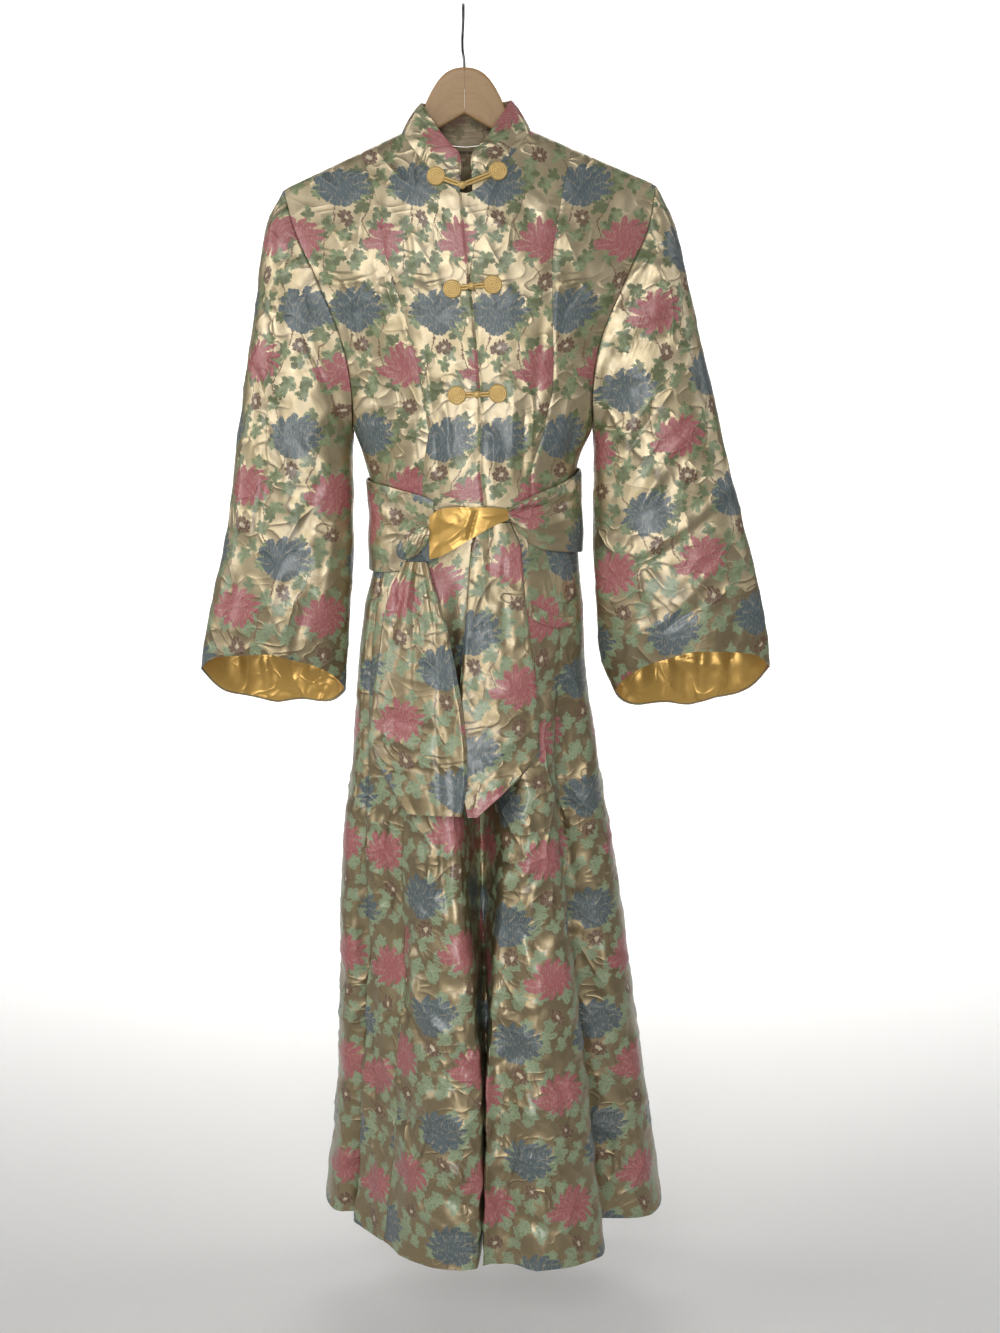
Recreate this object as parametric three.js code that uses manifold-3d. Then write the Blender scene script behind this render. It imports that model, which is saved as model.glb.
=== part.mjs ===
// Brocade robe with a stand collar, wide sleeves, frog closures and a tie belt,
// hung on a wooden hanger.
//
// Millimetres, +Z up. The front faces -Y and +X is to the right of someone who faces it.
// The origin is the top of the inside of the hook, where a rail carries it.
//
// Every cloth piece is a thin wall. Its outer face comes from one of four surfaces: the
// body, the sleeves, the collar or the belt. Its inner face is the same grid moved in.

import * as THREE from "three";
import { mergeVertices } from "three/addons/utils/BufferGeometryUtils.js";
import Module from "manifold-3d";

const wasm = await Module();
wasm.setup();

// ---------------------------------------------------------------- driving dimensions

const WALL = 1.8;                 // brocade with its backing
const LINING_WALL = 1.0;          // satin lining
const SEAM = 0.3;                 // space between two pieces at a seam
const DEG = Math.PI / 180;

const UNDERARM_Z = -500;          // bottom of both armholes
const HEM_Z = -1550;
const SQUARENESS = 2.25;          // exponent of the body's rings, 2 is an ellipse

const NECK_X = 3;                 // middle of the neck opening
const NECK_HALF = 78;             // half the neck opening at the shoulder seams
const NECK_TOP_Z = -145;          // shoulder seam at the neck
const NECK_FRONT_DROP = 74;       // centre front below the shoulder seams
const NECK_BACK_DROP = 16;
const NECK_CURVE = 1.5;
const NECK_RISE = 26;             // how far the closed shoulder line would arch over the neck
const SHOULDER_SLOPE = 0.44;
const SHOULDER_TILT = 0.02;       // the robe hangs a little higher on the right
const SHOULDER_RADIUS = 9.5;      // the cloth's bend over the top of the hanger
const SETTLE = 200;               // depth below the shoulder at which the body is full

const HANGER_THICKNESS = 10;
const HANGER_EDGE = 2.5;          // rounding of the wood's edges
const HANGER_DROP = 3.6;          // wood below the outside of the shoulder seam
const ARM_TIP_X = 204;
const WIRE = 3.2;                 // hook wire
const HOOK_RADIUS = 21;

const COLLAR_TOP_HALF = 54;       // half width of the collar's upper edge
const FROG_DISC = 22;             // coiled disc of a frog closure
const FROG_CORD = 3.2;

const columns = (names, rows) =>
  rows.map((row) => Object.fromEntries(names.map((name, i) => [name, row[i]])));

// Extents of the body at each height. "middle" is the depth at which it is widest.
const BODY_RINGS = columns(["z", "left", "right", "front", "back", "middle"], [
  [-140, -252, 268, -50, 40, 0],
  [-230, -246, 262, -56, 46, 0],
  [-320, -214, 226, -66, 54, 0],
  [-400, -174, 188, -72, 58, 0],
  [-500, -138, 158, -72, 58, 0],
  [-545, -123, 140, -70, 55, 0],
  [-590, -113, 138, -68, 52, 0],
  [-670, -115, 143, -70, 54, 0],
  [-720, -126, 148, -80, 63, 3],
  [-800, -136, 152, -96, 80, 8],
  [-920, -147, 171, -114, 106, 17],
  [-1000, -159, 186, -124, 122, 24],
  [-1110, -168, 205, -136, 140, 34],
  [-1250, -175, 226, -148, 158, 46],
  [-1390, -183, 246, -158, 174, 58],
  [-1550, -202, 270, -167, 192, 70],
]);

// Seams of the body as angles round its rings, 0 at the front and 90 on the right.
const BODY_SEAMS = columns(
  ["z", "centre_front", "front_right", "side_right", "back_right",
    "back_left", "side_left", "front_left"], [
    [-500, 3, 33, 90, 148, 212, 270, 342],
    [-590, 4, 32, 90, 148, 212, 270, 332],
    [-690, 4, 46, 90, 147, 213, 270, 328],
    [-800, 5, 50, 90, 146, 214, 270, 326],
    [-960, 5, 50, 91, 144, 216, 270, 324],
    [-1110, 1, 50, 92, 142, 218, 269, 322],
    [-1550, -3, 51, 94, 140, 220, 268, 316],
  ]);

// Seams of the body above the underarm, as a share of the way up to the shoulder.
const BODICE_SEAMS = columns(
  ["up", "centre_front", "front_left", "front_right", "arm_left", "arm_right",
    "back_left", "back_right"], [
    [0.00, 17, -36, 90, -138, 158, -72, 92],
    [0.18, 17, -47, 103, -138, 157, -78, 97],
    [0.38, 15, -66, 106, -149, 167, -88, 104],
    [0.62, 9, -92, 107, -176, 196, -100, 112],
    [0.82, 2, -103, 117, -203, 222, -112, 120],
    [1.00, -2, -124, 130, -218, 232, -124, 130],
  ]);

// The folds that the skirt hangs in. "at" is the share of the way across the panel,
// widths are half widths in degrees, "deep" is at the hem, and "from" is where it starts.
const SKIRT_FOLDS = columns(["panel", "at", "wide_top", "wide_hem", "deep", "from"], [
  ["front_right", 0.00, 9, 2.6, 64, -680],
  ["front_right", 0.10, 12, 6, 36, -800],
  ["side_front_right", 0.10, 10, 11, 86, -740],
  ["side_back_right", 0.38, 8, 10, 48, -800],
  ["centre_back", 0.08, 8, 9, 60, -760],
  ["centre_back", 0.54, 8, 10, 54, -820],
  ["centre_back", 0.92, 8, 9, 66, -740],
  ["side_back_left", 0.46, 8, 9, 50, -780],
  ["side_front_left", 0.13, 4, 4, 24, -700],
  ["side_front_left", 0.86, 16, 22, 42, -780],
]);

// Rings of the sleeves: the outer and the inner fold, the middle depth, and the half
// depth to the front and to the back. "lift" raises the front and lowers the back.
const SLEEVE_COLUMNS = ["outer_x", "outer_z", "inner_x", "inner_z", "middle", "front", "back",
  "lift"];
const SLEEVE_RINGS = {
  left: columns(SLEEVE_COLUMNS, [
    [-239, -250, -138.8, -511, 2, 42, 38, 0],
    [-249, -303, -139.5, -528, 2, 44, 40, 0],
    [-264, -400, -139.5, -590, 0, 44, 40, 0],
    [-280, -500, -140, -650, -3, 42, 38, 0],
    [-296, -620, -145, -722, -5, 42, 38, 6],
    [-322, -730, -150, -784, -4, 44, 42, 22],
    [-336, -806, -153, -829, -2, 44, 46, 40],
  ]),
  right: columns(SLEEVE_COLUMNS, [
    [254, -248, 158.8, -511, 2, 42, 38, 0],
    [269, -305, 159.5, -528, 2, 44, 40, 0],
    [292, -400, 160.5, -590, 0, 44, 40, 0],
    [317, -500, 161, -652, -3, 42, 38, 0],
    [348, -620, 165, -726, -5, 42, 38, 6],
    [376, -730, 172, -790, -4, 46, 42, 24],
    [386, -803, 190, -832, -2, 46, 48, 44],
  ]),
};
const SLEEVE_FLATNESS = 2.3;      // exponent of the sleeves' rings
const LINING_FROM = 5;            // the ring at which the visible lining begins
const CUFF_TURN = 3;              // brocade beyond the lining at the cuff

// Edges of the belt round the waist, by the same angles as the seams.
const BELT_EDGES = columns(["angle", "top", "bottom"], [
  [16, -594, -606],
  [22, -586, -622],
  [32, -577, -640],
  [50, -566, -648],
  [90, -550, -654],
  [180, -556, -660],
  [270, -562, -675],
  [306, -566, -674],
  [333, -577, -662],
  [340, -583, -655],
]);
const BELT_CLEAR = 1.9;           // between the smooth body and the belt round it
const BELT_COLUMNS = 37;

// The belt's two hanging ends, as the left and right edges of each at a height.
const TAIL_COLUMNS = ["z", "left", "right", "out"];
const TAIL_LEFT = columns(TAIL_COLUMNS, [
  [-658.6, -70, -43, 7],
  [-690, -84, -35, 5.5],
  [-735, -94, -20, 5.5],
  [-785, -101, -10, 5.5],
  [-835, -107, -1, 5.5],
  [-883, -114, 4, 5.5],
  [-925, -91, 4, 5.5],
  [-964, -68, -2, 5.5],
]);
const TAIL_RIGHT = columns(TAIL_COLUMNS, [
  [-610, 16, 57, 4],
  [-640, 8, 69, 4],
  [-697, 3, 73, 1.5],
  [-750, 0, 79, 1.5],
  [-816, -6, 88, 1.5],
  [-894, -12, 91, 1.5],
  [-930, -6, 57, 1.5],
  [-966, 4, 16, 1.5],
]);

// The turn of the belt that shows its lining side, from left to right.
const BELT_TURN = columns(["x", "top", "bottom", "out"], [
  [-40.5, -602, -655, 8],
  [-26, -592, -650, 11],
  [11, -590, -627, 11],
  [36, -591, -613, 8],
  [56, -594, -605, 4.3],
]);
const KNOT = { x: -58, z: -636, out: 10.2, wide: 34, tall: 44, deep: 11 };

const POCKET = columns(["x", "top", "bottom"], [
  [78, -707, -724],
  [92, -716, -734],
  [114, -728, -741],
  [136, -730, -742],
]);

const POCKET_CLEAR = 0.6;
const POCKET_WALL = 1.5;

const FROGS = columns(["name", "left_x", "left_z", "right_x", "right_z", "knot_x", "knot_z"], [
  ["collar", -32, -199, 41, -193, -1, -210],
  ["chest", -13, -331, 35, -326, 10, -328],
  ["bust", -8, -456, 41, -454, 16, -455],
]);

// ---------------------------------------------------------------- colours

const cloth = (color) =>
  new THREE.MeshStandardMaterial({ color, roughness: 0.45, metalness: 0.1, side: THREE.DoubleSide });
const BROCADE = "#cfc19a";
const BROCADE_SHADE = "#c2b48d";
const GOLD_SATIN = "#c9993f";
const GOLD_CORD = "#d3a94e";
const WOOD = "#d9b48a";

// ---------------------------------------------------------------- curves through tables

const clamp = (value, low, high) => Math.min(high, Math.max(low, value));
const mix = (a, b, t) => a + (b - a) * t;
const smooth = (t) => { const u = clamp(t, 0, 1); return u * u * (3 - 2 * u); };

// A smooth curve through one column of a table, against another column.
function along(table, key, column, value) {
  const rising = table[1][key] > table[0][key];
  const last = table.length - 1;
  const v = rising ? clamp(value, table[0][key], table[last][key])
    : clamp(value, table[last][key], table[0][key]);
  let i = 0;
  while (i < last - 1 && (rising ? v > table[i + 1][key] : v < table[i + 1][key])) i++;
  const slope = (k) => {
    const a = table[Math.max(k - 1, 0)];
    const b = table[Math.min(k + 1, last)];
    return (b[column] - a[column]) / (b[key] - a[key]);
  };
  const from = table[i];
  const to = table[i + 1];
  const span = to[key] - from[key];
  const t = (v - from[key]) / span;
  const t2 = t * t;
  const t3 = t2 * t;
  return from[column] * (2 * t3 - 3 * t2 + 1) + to[column] * (3 * t2 - 2 * t3)
    + slope(i) * span * (t3 - 2 * t2 + t) + slope(i + 1) * span * (t3 - t2);
}

// ---------------------------------------------------------------- the body's surface

const ringAt = (z) => {
  const ring = (column) => along(BODY_RINGS, "z", column, z);
  const left = ring("left");
  const right = ring("right");
  const middle = ring("middle");
  return { x: (left + right) / 2, half: (right - left) / 2, middle,
    front: middle - ring("front"), back: ring("back") - middle };
};

const seamAngle = (name, z) => along(BODY_SEAMS, "z", name, z);

const PANELS = [
  { name: "front_right", from: "centre_front", to: "front_right", columns: 5 },
  { name: "side_front_right", from: "front_right", to: "side_right", columns: 4 },
  { name: "side_back_right", from: "side_right", to: "back_right", columns: 4 },
  { name: "centre_back", from: "back_right", to: "back_left", columns: 8 },
  { name: "side_back_left", from: "back_left", to: "side_left", columns: 4 },
  { name: "side_front_left", from: "side_left", to: "front_left", columns: 4 },
  { name: "front_left", from: "front_left", to: "centre_front", columns: 5, wraps: true },
];
const panelNamed = Object.fromEntries(PANELS.map((panel) => [panel.name, panel]));

function panelAngle(panel, share, z) {
  const from = seamAngle(panel.from, z);
  const to = seamAngle(panel.to, z) + (panel.wraps ? 360 : 0);
  return mix(from, to, share);
}

// How far the folds pull a ring in towards its middle at an angle.
function foldDepth(angle, z) {
  let depth = 0;
  for (const fold of SKIRT_FOLDS) {
    const centre = panelAngle(panelNamed[fold.panel], fold.at, z);
    const down = clamp((fold.from - z) / (fold.from - HEM_Z), 0, 1);
    const width = mix(fold.wide_top, fold.wide_hem, down);
    let off = (angle - centre) % 360;
    if (off > 180) off -= 360;
    if (off < -180) off += 360;
    const opening = smooth(down * 2.4) * mix(0.75, 1, down);
    depth += fold.deep * opening / (1 + Math.abs(off / width) ** 3.2);
  }
  return depth;
}

// Point of the skirt and lower bodice at an angle and a height.
function bodyPoint(angle, z, folded = true) {
  const ring = ringAt(z);
  const power = 2 / SQUARENESS;
  const s = Math.sin(angle * DEG);
  const c = Math.cos(angle * DEG);
  const x = ring.half * Math.sign(s) * Math.abs(s) ** power;
  const y = -(c > 0 ? ring.front : ring.back) * Math.sign(c) * Math.abs(c) ** power;
  const reach = Math.hypot(x, y);
  const scale = folded ? 1 - foldDepth(angle, z) / reach : 1;
  return new THREE.Vector3(ring.x + x * scale, ring.middle + y * scale, z);
}

const shoulderZ = (x) => {
  const out = Math.abs(x - NECK_X);
  const level = NECK_TOP_Z + SHOULDER_TILT * (x - NECK_X);
  if (out >= NECK_HALF) return level - SHOULDER_SLOPE * (out - NECK_HALF);
  return level + NECK_RISE * (1 - (out / NECK_HALF) ** 2);
};

// Height of the neckline seam, on the front (side -1) or the back (side 1).
const neckZ = (x, side) => {
  const drop = side < 0 ? NECK_FRONT_DROP : NECK_BACK_DROP;
  const out = clamp(Math.abs(x - NECK_X) / NECK_HALF, 0, 1);
  return NECK_TOP_Z + SHOULDER_TILT * (x - NECK_X) - drop * (1 - out ** NECK_CURVE);
};

// Depth of the bodice at a place on the front or the back: the ring's own depth, closed
// in towards the shoulder and bent over the hanger in an arc.
function bodiceDepth(x, z, side) {
  const ring = ringAt(z);
  const out = clamp(Math.abs(x - ring.x) / ring.half, 0, 1);
  const half = side < 0 ? ring.front : ring.back;
  const full = half * (1 - out ** SQUARENESS) ** (1 / SQUARENESS);
  const below = Math.max(shoulderZ(x) - z, 0);
  const settled = 1 - (1 - clamp(below / SETTLE, 0, 1)) ** 2.5;
  const bend = Math.min(below, SHOULDER_RADIUS);
  const arc = Math.sqrt(SHOULDER_RADIUS ** 2 - (SHOULDER_RADIUS - bend) ** 2);
  return ring.middle + side * (arc + (full - SHOULDER_RADIUS) * settled);
}

const bodicePoint = (x, z, side) => new THREE.Vector3(x, bodiceDepth(x, z, side), z);

// Outward normals, from small steps over the surface.
function bodyNormal(angle, z) {
  const step = 0.5;
  const round = bodyPoint(angle + step, z).sub(bodyPoint(angle - step, z));
  const up = bodyPoint(angle, z + step).sub(bodyPoint(angle, z - step));
  return round.cross(up).normalize();
}

function bodiceNormal(x, z, side) {
  const below = shoulderZ(x) - z;
  const step = 0.5;
  const across = (bodiceDepth(x + step, z, side) - bodiceDepth(x - step, z, side)) / (2 * step);
  if (below < 1) return new THREE.Vector3(0, 0, 1);
  const rise = (bodiceDepth(x, z + step, side) - bodiceDepth(x, z - step, side)) / (2 * step);
  return new THREE.Vector3(-across * side, side, -rise * side).normalize();
}

// ---------------------------------------------------------------- walls from grids

// A closed wall between two grids of points, outer[row][column] and inner[row][column].
// A ring wall also closes round its columns.
function wall(outer, inner, ring = false) {
  const rows = outer.length;
  const cols = outer[0].length;
  const vertices = [...outer.flat(), ...inner.flat()];
  const out = (i, j) => i * cols + (j % cols);
  const inn = (i, j) => rows * cols + out(i, j);
  const faces = [];
  const quad = (a, b, c, d) => {
    const even = vertices[a].distanceTo(vertices[c]) <= vertices[b].distanceTo(vertices[d]);
    faces.push(...(even ? [a, b, c, a, c, d] : [a, b, d, b, c, d]));
  };
  const across = ring ? cols : cols - 1;
  for (let i = 0; i < rows - 1; i++) {
    for (let j = 0; j < across; j++) {
      quad(out(i, j), out(i, j + 1), out(i + 1, j + 1), out(i + 1, j));
      quad(inn(i, j), inn(i + 1, j), inn(i + 1, j + 1), inn(i, j + 1));
    }
  }
  for (let j = 0; j < across; j++) {
    quad(out(0, j + 1), out(0, j), inn(0, j), inn(0, j + 1));
    quad(out(rows - 1, j), out(rows - 1, j + 1), inn(rows - 1, j + 1), inn(rows - 1, j));
  }
  if (!ring) {
    for (let i = 0; i < rows - 1; i++) {
      quad(out(i, 0), out(i + 1, 0), inn(i + 1, 0), inn(i, 0));
      quad(out(i + 1, cols - 1), out(i, cols - 1), inn(i, cols - 1), inn(i + 1, cols - 1));
    }
  }
  return closedGeometry(vertices, faces);
}

function signedVolume(vertices, faces) {
  let six = 0;
  for (let i = 0; i < faces.length; i += 3) {
    const [a, b, c] = [faces[i], faces[i + 1], faces[i + 2]].map((k) => vertices[k]);
    six += a.dot(new THREE.Vector3().crossVectors(b, c));
  }
  return six / 6;
}

function closedGeometry(vertices, faces) {
  const outward = [...faces];
  if (signedVolume(vertices, faces) < 0) {
    for (let i = 0; i < outward.length; i += 3) {
      [outward[i + 1], outward[i + 2]] = [outward[i + 2], outward[i + 1]];
    }
  }
  const geometry = new THREE.BufferGeometry();
  geometry.setAttribute("position",
    new THREE.Float32BufferAttribute(vertices.flatMap((v) => [v.x, v.y, v.z]), 3));
  geometry.setIndex(outward);
  return geometry;
}

const moved = (grid, normals, distance) =>
  grid.map((row, i) => row.map((p, j) => p.clone().addScaledVector(normals[i][j], distance)));

// Normals of a free grid, from its neighbours, pointing away from "inside".
function gridNormals(grid, inside, ring = false) {
  const rows = grid.length;
  const cols = grid[0].length;
  const column = (j) => (ring ? (j + cols) % cols : clamp(j, 0, cols - 1));
  return grid.map((row, i) => row.map((p, j) => {
    const across = grid[i][column(j + 1)].clone().sub(grid[i][column(j - 1)]);
    const down = grid[clamp(i + 1, 0, rows - 1)][j].clone().sub(grid[clamp(i - 1, 0, rows - 1)][j]);
    const normal = across.cross(down).normalize();
    return normal.dot(p.clone().sub(inside(p, i))) < 0 ? normal.negate() : normal;
  }));
}

const group = new THREE.Group();

function piece(name, geometry, color) {
  const mesh = new THREE.Mesh(geometry, cloth(color));
  mesh.name = name;
  group.add(mesh);
  return mesh;
}

// ---------------------------------------------------------------- body panels

const SKIRT_ROWS = [-500, -545, -590, -640, -690, -745, -810, -890, -990, -1110, -1250, -1400,
  -1550];
const BODICE_UPS = [1, 0.994, 0.979, 0.93, 0.78, 0.62, 0.46, 0.31, 0.15];
const FOLD_STEPS = [-1, 0, 1];        // extra columns at a fold, in its half widths

// Where the neck's corner falls on the panels that meet it, as a share across.
const neckCorner = (from, to, side) => {
  const left = along(BODICE_SEAMS, "up", from, 1);
  const right = along(BODICE_SEAMS, "up", to, 1);
  return [0, 3, 12].map((inset) =>
    (NECK_X + side * (NECK_HALF - inset) - left) / (right - left));
};
const NECK_CORNERS = {
  front_right: neckCorner("centre_front", "front_right", 1),
  centre_back: [...neckCorner("back_right", "back_left", 1),
    ...neckCorner("back_right", "back_left", -1)],
  front_left: neckCorner("front_left", "centre_front", -1),
};

// Shares across a panel: its edges and the neck's corners, then its folds, then even steps,
// each kept only where it isn't too near one that is there already.
function panelShares(panel) {
  const width = panelAngle(panel, 1, -1200) - panelAngle(panel, 0, -1200);
  const folds = SKIRT_FOLDS.filter((fold) => fold.panel === panel.name)
    .concat(panel.wraps ? [{ ...SKIRT_FOLDS[0], at: 1 }, { ...SKIRT_FOLDS[1], at: 1 }] : []);
  const atFolds = folds.flatMap((fold) =>
    FOLD_STEPS.map((step) => fold.at + step * fold.wide_hem * 1.1 / width));
  const even = Array.from({ length: panel.columns }, (_, i) => i / panel.columns);
  const kept = [0, 1, ...(NECK_CORNERS[panel.name] ?? [])];
  for (const [shares, apart] of [[atFolds, 1.8], [even, 3]]) {
    for (const share of shares.filter((t) => t > 0 && t < 1)) {
      if (kept.every((other) => Math.abs(other - share) * width > apart)) kept.push(share);
    }
  }
  return kept.sort((a, b) => a - b);
}

const bodiceSeam = (name, up) => along(BODICE_SEAMS, "up", name, up);

// The bodice part of each panel runs between two of its seams, on one side of the body.
const BODICE_EDGES = {
  front_right: ["centre_front", "front_right", -1],
  side_front_right: ["front_right", "arm_right", -1],
  side_back_right: ["arm_right", "back_right", 1],
  centre_back: ["back_right", "back_left", 1],
  side_back_left: ["back_left", "arm_left", 1],
  side_front_left: ["arm_left", "front_left", -1],
  front_left: ["front_left", "centre_front", -1],
};

// A place on the bodice: "up" goes from the underarm to the neckline or shoulder.
function bodicePlace(panel, share, up) {
  const [from, to, side] = BODICE_EDGES[panel.name];
  const low = bodyPoint(panelAngle(panel, share, UNDERARM_Z), UNDERARM_Z, false);
  const topX = mix(bodiceSeam(from, 1), bodiceSeam(to, 1), share);
  const inNeck = Math.abs(topX - NECK_X) < NECK_HALF - 0.01;
  const topZ = inNeck ? neckZ(topX, side) : shoulderZ(topX);
  const evenLow = mix(bodiceSeam(from, 0), bodiceSeam(to, 0), share);
  const x = mix(bodiceSeam(from, up), bodiceSeam(to, up), share);
  return { x: x + (low.x - evenLow) * (1 - smooth(up * 2)), z: mix(UNDERARM_Z, topZ, up), side,
    inNeck };
}

// Outer points and normals of a panel, from the shoulder or neckline down to the hem.
function panelGrid(panel) {
  const shares = panelShares(panel);
  const outer = [];
  const normals = [];
  for (const up of BODICE_UPS) {
    const places = shares.map((share) => bodicePlace(panel, share, up));
    const row = places.map(({ x, z, side }) => bodicePoint(x, z, side));
    if (up === 1) places.forEach(({ inNeck, side }, j) => inNeck || row[j].setY(side * SEAM / 2));
    const onward = new THREE.Vector3(-places[0].side, 0, 0);
    outer.push(trimSeams(row, onward, onward));
    normals.push(places.map(({ x, z, side }) => bodiceNormal(x, z, side)));
  }
  for (const z of SKIRT_ROWS) {
    const angles = shares.map((share) => panelAngle(panel, share, z));
    const onward = (angle) =>
      bodyPoint(angle + 1, z, false).sub(bodyPoint(angle - 1, z, false)).normalize();
    outer.push(trimSeams(angles.map((angle) => bodyPoint(angle, z)), onward(angles[0]),
      onward(angles.at(-1))));
    normals.push(angles.map((angle) => bodyNormal(angle, z)));
  }
  return { outer, normals };
}

// Half a seam's space off both ends of a row, along the way round the body there.
function trimSeams(row, onwardFirst, onwardLast) {
  row[0].addScaledVector(onwardFirst, SEAM / 2);
  row.at(-1).addScaledVector(onwardLast, -SEAM / 2);
  return row;
}

const bodyGrids = {};
for (const panel of PANELS) {
  const { outer, normals } = panelGrid(panel);
  const inner = moved(outer, normals, -WALL);
  bodyGrids[panel.name] = { outer, inner };
  piece(panel.name, wall(outer, inner), panel.name.startsWith("side") ? BROCADE_SHADE : BROCADE);
}

// ---------------------------------------------------------------- sleeves

// One end column of a body panel's armhole, from the shoulder down to the underarm, and
// the same points a seam's space further out.
function armholeEdge(name, atEnd) {
  const { outer, inner } = bodyGrids[name];
  return outer.slice(0, BODICE_UPS.length + 1).map((row, i) => {
    const edge = atEnd ? row.length - 1 : 0;
    const next = atEnd ? row.length - 2 : 1;
    const step = row[edge].clone().sub(row[next]).setLength(SEAM);
    return { outer: row[edge].clone().add(step), inner: inner[i][edge].clone().add(step) };
  });
}

// The armhole as a loop: the shoulder, down the front, the underarm and up the back.
function armholeLoop(side) {
  const right = side === "right";
  const front = armholeEdge(`side_front_${side}`, right);
  const back = armholeEdge(`side_back_${side}`, !right);
  const last = front.length - 1;
  const shoulder = {
    outer: front[0].outer.clone().lerp(back[0].outer, 0.5),
    inner: front[0].inner.clone().lerp(back[0].inner, 0.5),
  };
  const outward = right ? 1 : -1;
  const low = front[last].outer.clone().lerp(back[last].outer, 0.5);
  low.setX(low.x + outward * SEAM);
  const underarm = { outer: low, inner: low.clone().add(new THREE.Vector3(outward, 0, WALL)) };
  return [shoulder, ...front.slice(1, last), underarm, ...back.slice(1, last).reverse()];
}

// Angles round a sleeve that match the armhole's rows: 0 at the outer fold, 90 in front.
const frontTurns = BODICE_UPS.slice(1).map((up) => Math.acos(2 * up - 1));
const backTurns = frontTurns.map((turn) => 2 * Math.PI - turn).reverse();
const SLEEVE_TURNS = [0, ...frontTurns, Math.PI, ...backTurns];

function sleeveRing(ring) {
  const outer = new THREE.Vector3(ring.outer_x, ring.middle, ring.outer_z);
  const inner = new THREE.Vector3(ring.inner_x, ring.middle, ring.inner_z);
  const centre = outer.clone().lerp(inner, 0.5);
  const half = outer.clone().sub(centre);
  const flattened = (t) => Math.sign(t) * Math.abs(t) ** (2 / SLEEVE_FLATNESS);
  return SLEEVE_TURNS.map((turn) => {
    const deep = Math.sin(turn) > 0 ? ring.front : ring.back;
    const bulge = flattened(Math.sin(turn));
    const p = centre.clone().addScaledVector(half, flattened(Math.cos(turn)));
    return p.add(new THREE.Vector3(0, -deep * bulge, ring.lift * bulge));
  });
}

// A smooth curve through a list of rings, column by column.
function between(rings, place) {
  const last = rings.length - 1;
  const i = clamp(Math.floor(place), 0, last - 1);
  const t = place - i;
  return rings[i].map((_, j) => {
    const at = (k) => rings[clamp(k, 0, last)][j];
    const [p0, p1, p2, p3] = [at(i - 1), at(i), at(i + 1), at(i + 2)];
    const axis = (key) => 0.5 * (2 * p1[key] + (p2[key] - p0[key]) * t
      + (2 * p0[key] - 5 * p1[key] + 4 * p2[key] - p3[key]) * t * t
      + (3 * p1[key] - p0[key] - 3 * p2[key] + p3[key]) * t * t * t);
    return new THREE.Vector3(axis("x"), axis("y"), axis("z"));
  });
}

const SLEEVE_ROWS = [0, 0.5, 1, 2, 3, 4, 5, 6, 7];
const ringCentre = (grid) => (p, i) =>
  grid[i].reduce((sum, q) => sum.add(q), new THREE.Vector3()).divideScalar(grid[i].length);

for (const side of ["left", "right"]) {
  const loop = armholeLoop(side);
  const rings = [loop.map((p) => p.outer), ...SLEEVE_RINGS[side].map(sleeveRing)];
  const outer = SLEEVE_ROWS.map((row) => between(rings, row));
  const normals = gridNormals(outer, ringCentre(outer), true);
  const inner = moved(outer, normals, -WALL);
  inner[0] = loop.map((p) => p.inner);
  piece(`sleeve_${side}`, wall(outer, inner, true), BROCADE);

  const first = SLEEVE_ROWS.indexOf(LINING_FROM);
  const lining = (depth) => {
    const skin = moved(outer, normals, -WALL - depth).slice(first);
    const cuff = skin.length - 1;
    skin[cuff] = skin[cuff].map((p, j) => {
      const run = skin[cuff - 1][j].clone().sub(p);
      return p.clone().add(run.setLength(CUFF_TURN));
    });
    return skin;
  };
  piece(`sleeve_lining_${side}`,
    wall(lining(SEAM * 2), lining(SEAM * 2 + LINING_WALL), true), GOLD_SATIN);
}

// ---------------------------------------------------------------- collar

const COLLAR_ENDS = { left: -4, right: 11 };    // the collar's two front ends
const COLLAR_RISE = 36;                         // at the shoulder seams
const COLLAR_EXTRA = 9;                         // more at the centre front and back
const COLLAR_CORNER = 9;                        // rounding of the front corners
const COLLAR_SWELL = 2;                         // outward curve half way up
const COLLAR_ROWS = [0, 0.5, 1];
const COLLAR_DEPTH_LEAN = 0.82;

// The neckline as the body's panels leave it, from the left front end round the back.
// "leftwards" is how far each panel's top row runs towards the left.
function necklineEdge() {
  const topRow = (name) => bodyGrids[name].outer[0].map((outer, j) =>
    ({ outer, inner: bodyGrids[name].inner[0][j] }))
    .filter(({ outer }) => Math.abs(outer.x - NECK_X) < NECK_HALF + 0.5);
  const middle = (a, b) =>
    ({ outer: a.outer.clone().lerp(b.outer, 0.5), inner: a.inner.clone().lerp(b.inner, 0.5) });
  const frontLeft = cutAt(topRow("front_left").reverse(), COLLAR_ENDS.left, -1);
  const back = topRow("centre_back").reverse();
  const frontRight = cutAt(topRow("front_right"), COLLAR_ENDS.right, 1).reverse();
  return [
    ...frontLeft.slice(0, -1), middle(frontLeft.at(-1), back[0]),
    ...back.slice(1, -1), middle(back.at(-1), frontRight[0]),
    ...frontRight.slice(1),
  ];
}

// A row of the neckline that starts at the collar's end, with two places in its corner.
function cutAt(row, end, outward) {
  const beyond = row.filter(({ outer }) => (outer.x - end) * outward > COLLAR_CORNER + 3);
  const at = (x) => {
    const i = row.findIndex(({ outer }) => (outer.x - x) * outward > 0);
    const [from, to] = [row[i - 1], row[i]];
    const t = (x - from.outer.x) / (to.outer.x - from.outer.x);
    return { outer: from.outer.clone().lerp(to.outer, t),
      inner: from.inner.clone().lerp(to.inner, t) };
  };
  return [0, 0.3, 1].map((share) => at(end + outward * share * COLLAR_CORNER)).concat(beyond);
}

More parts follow.
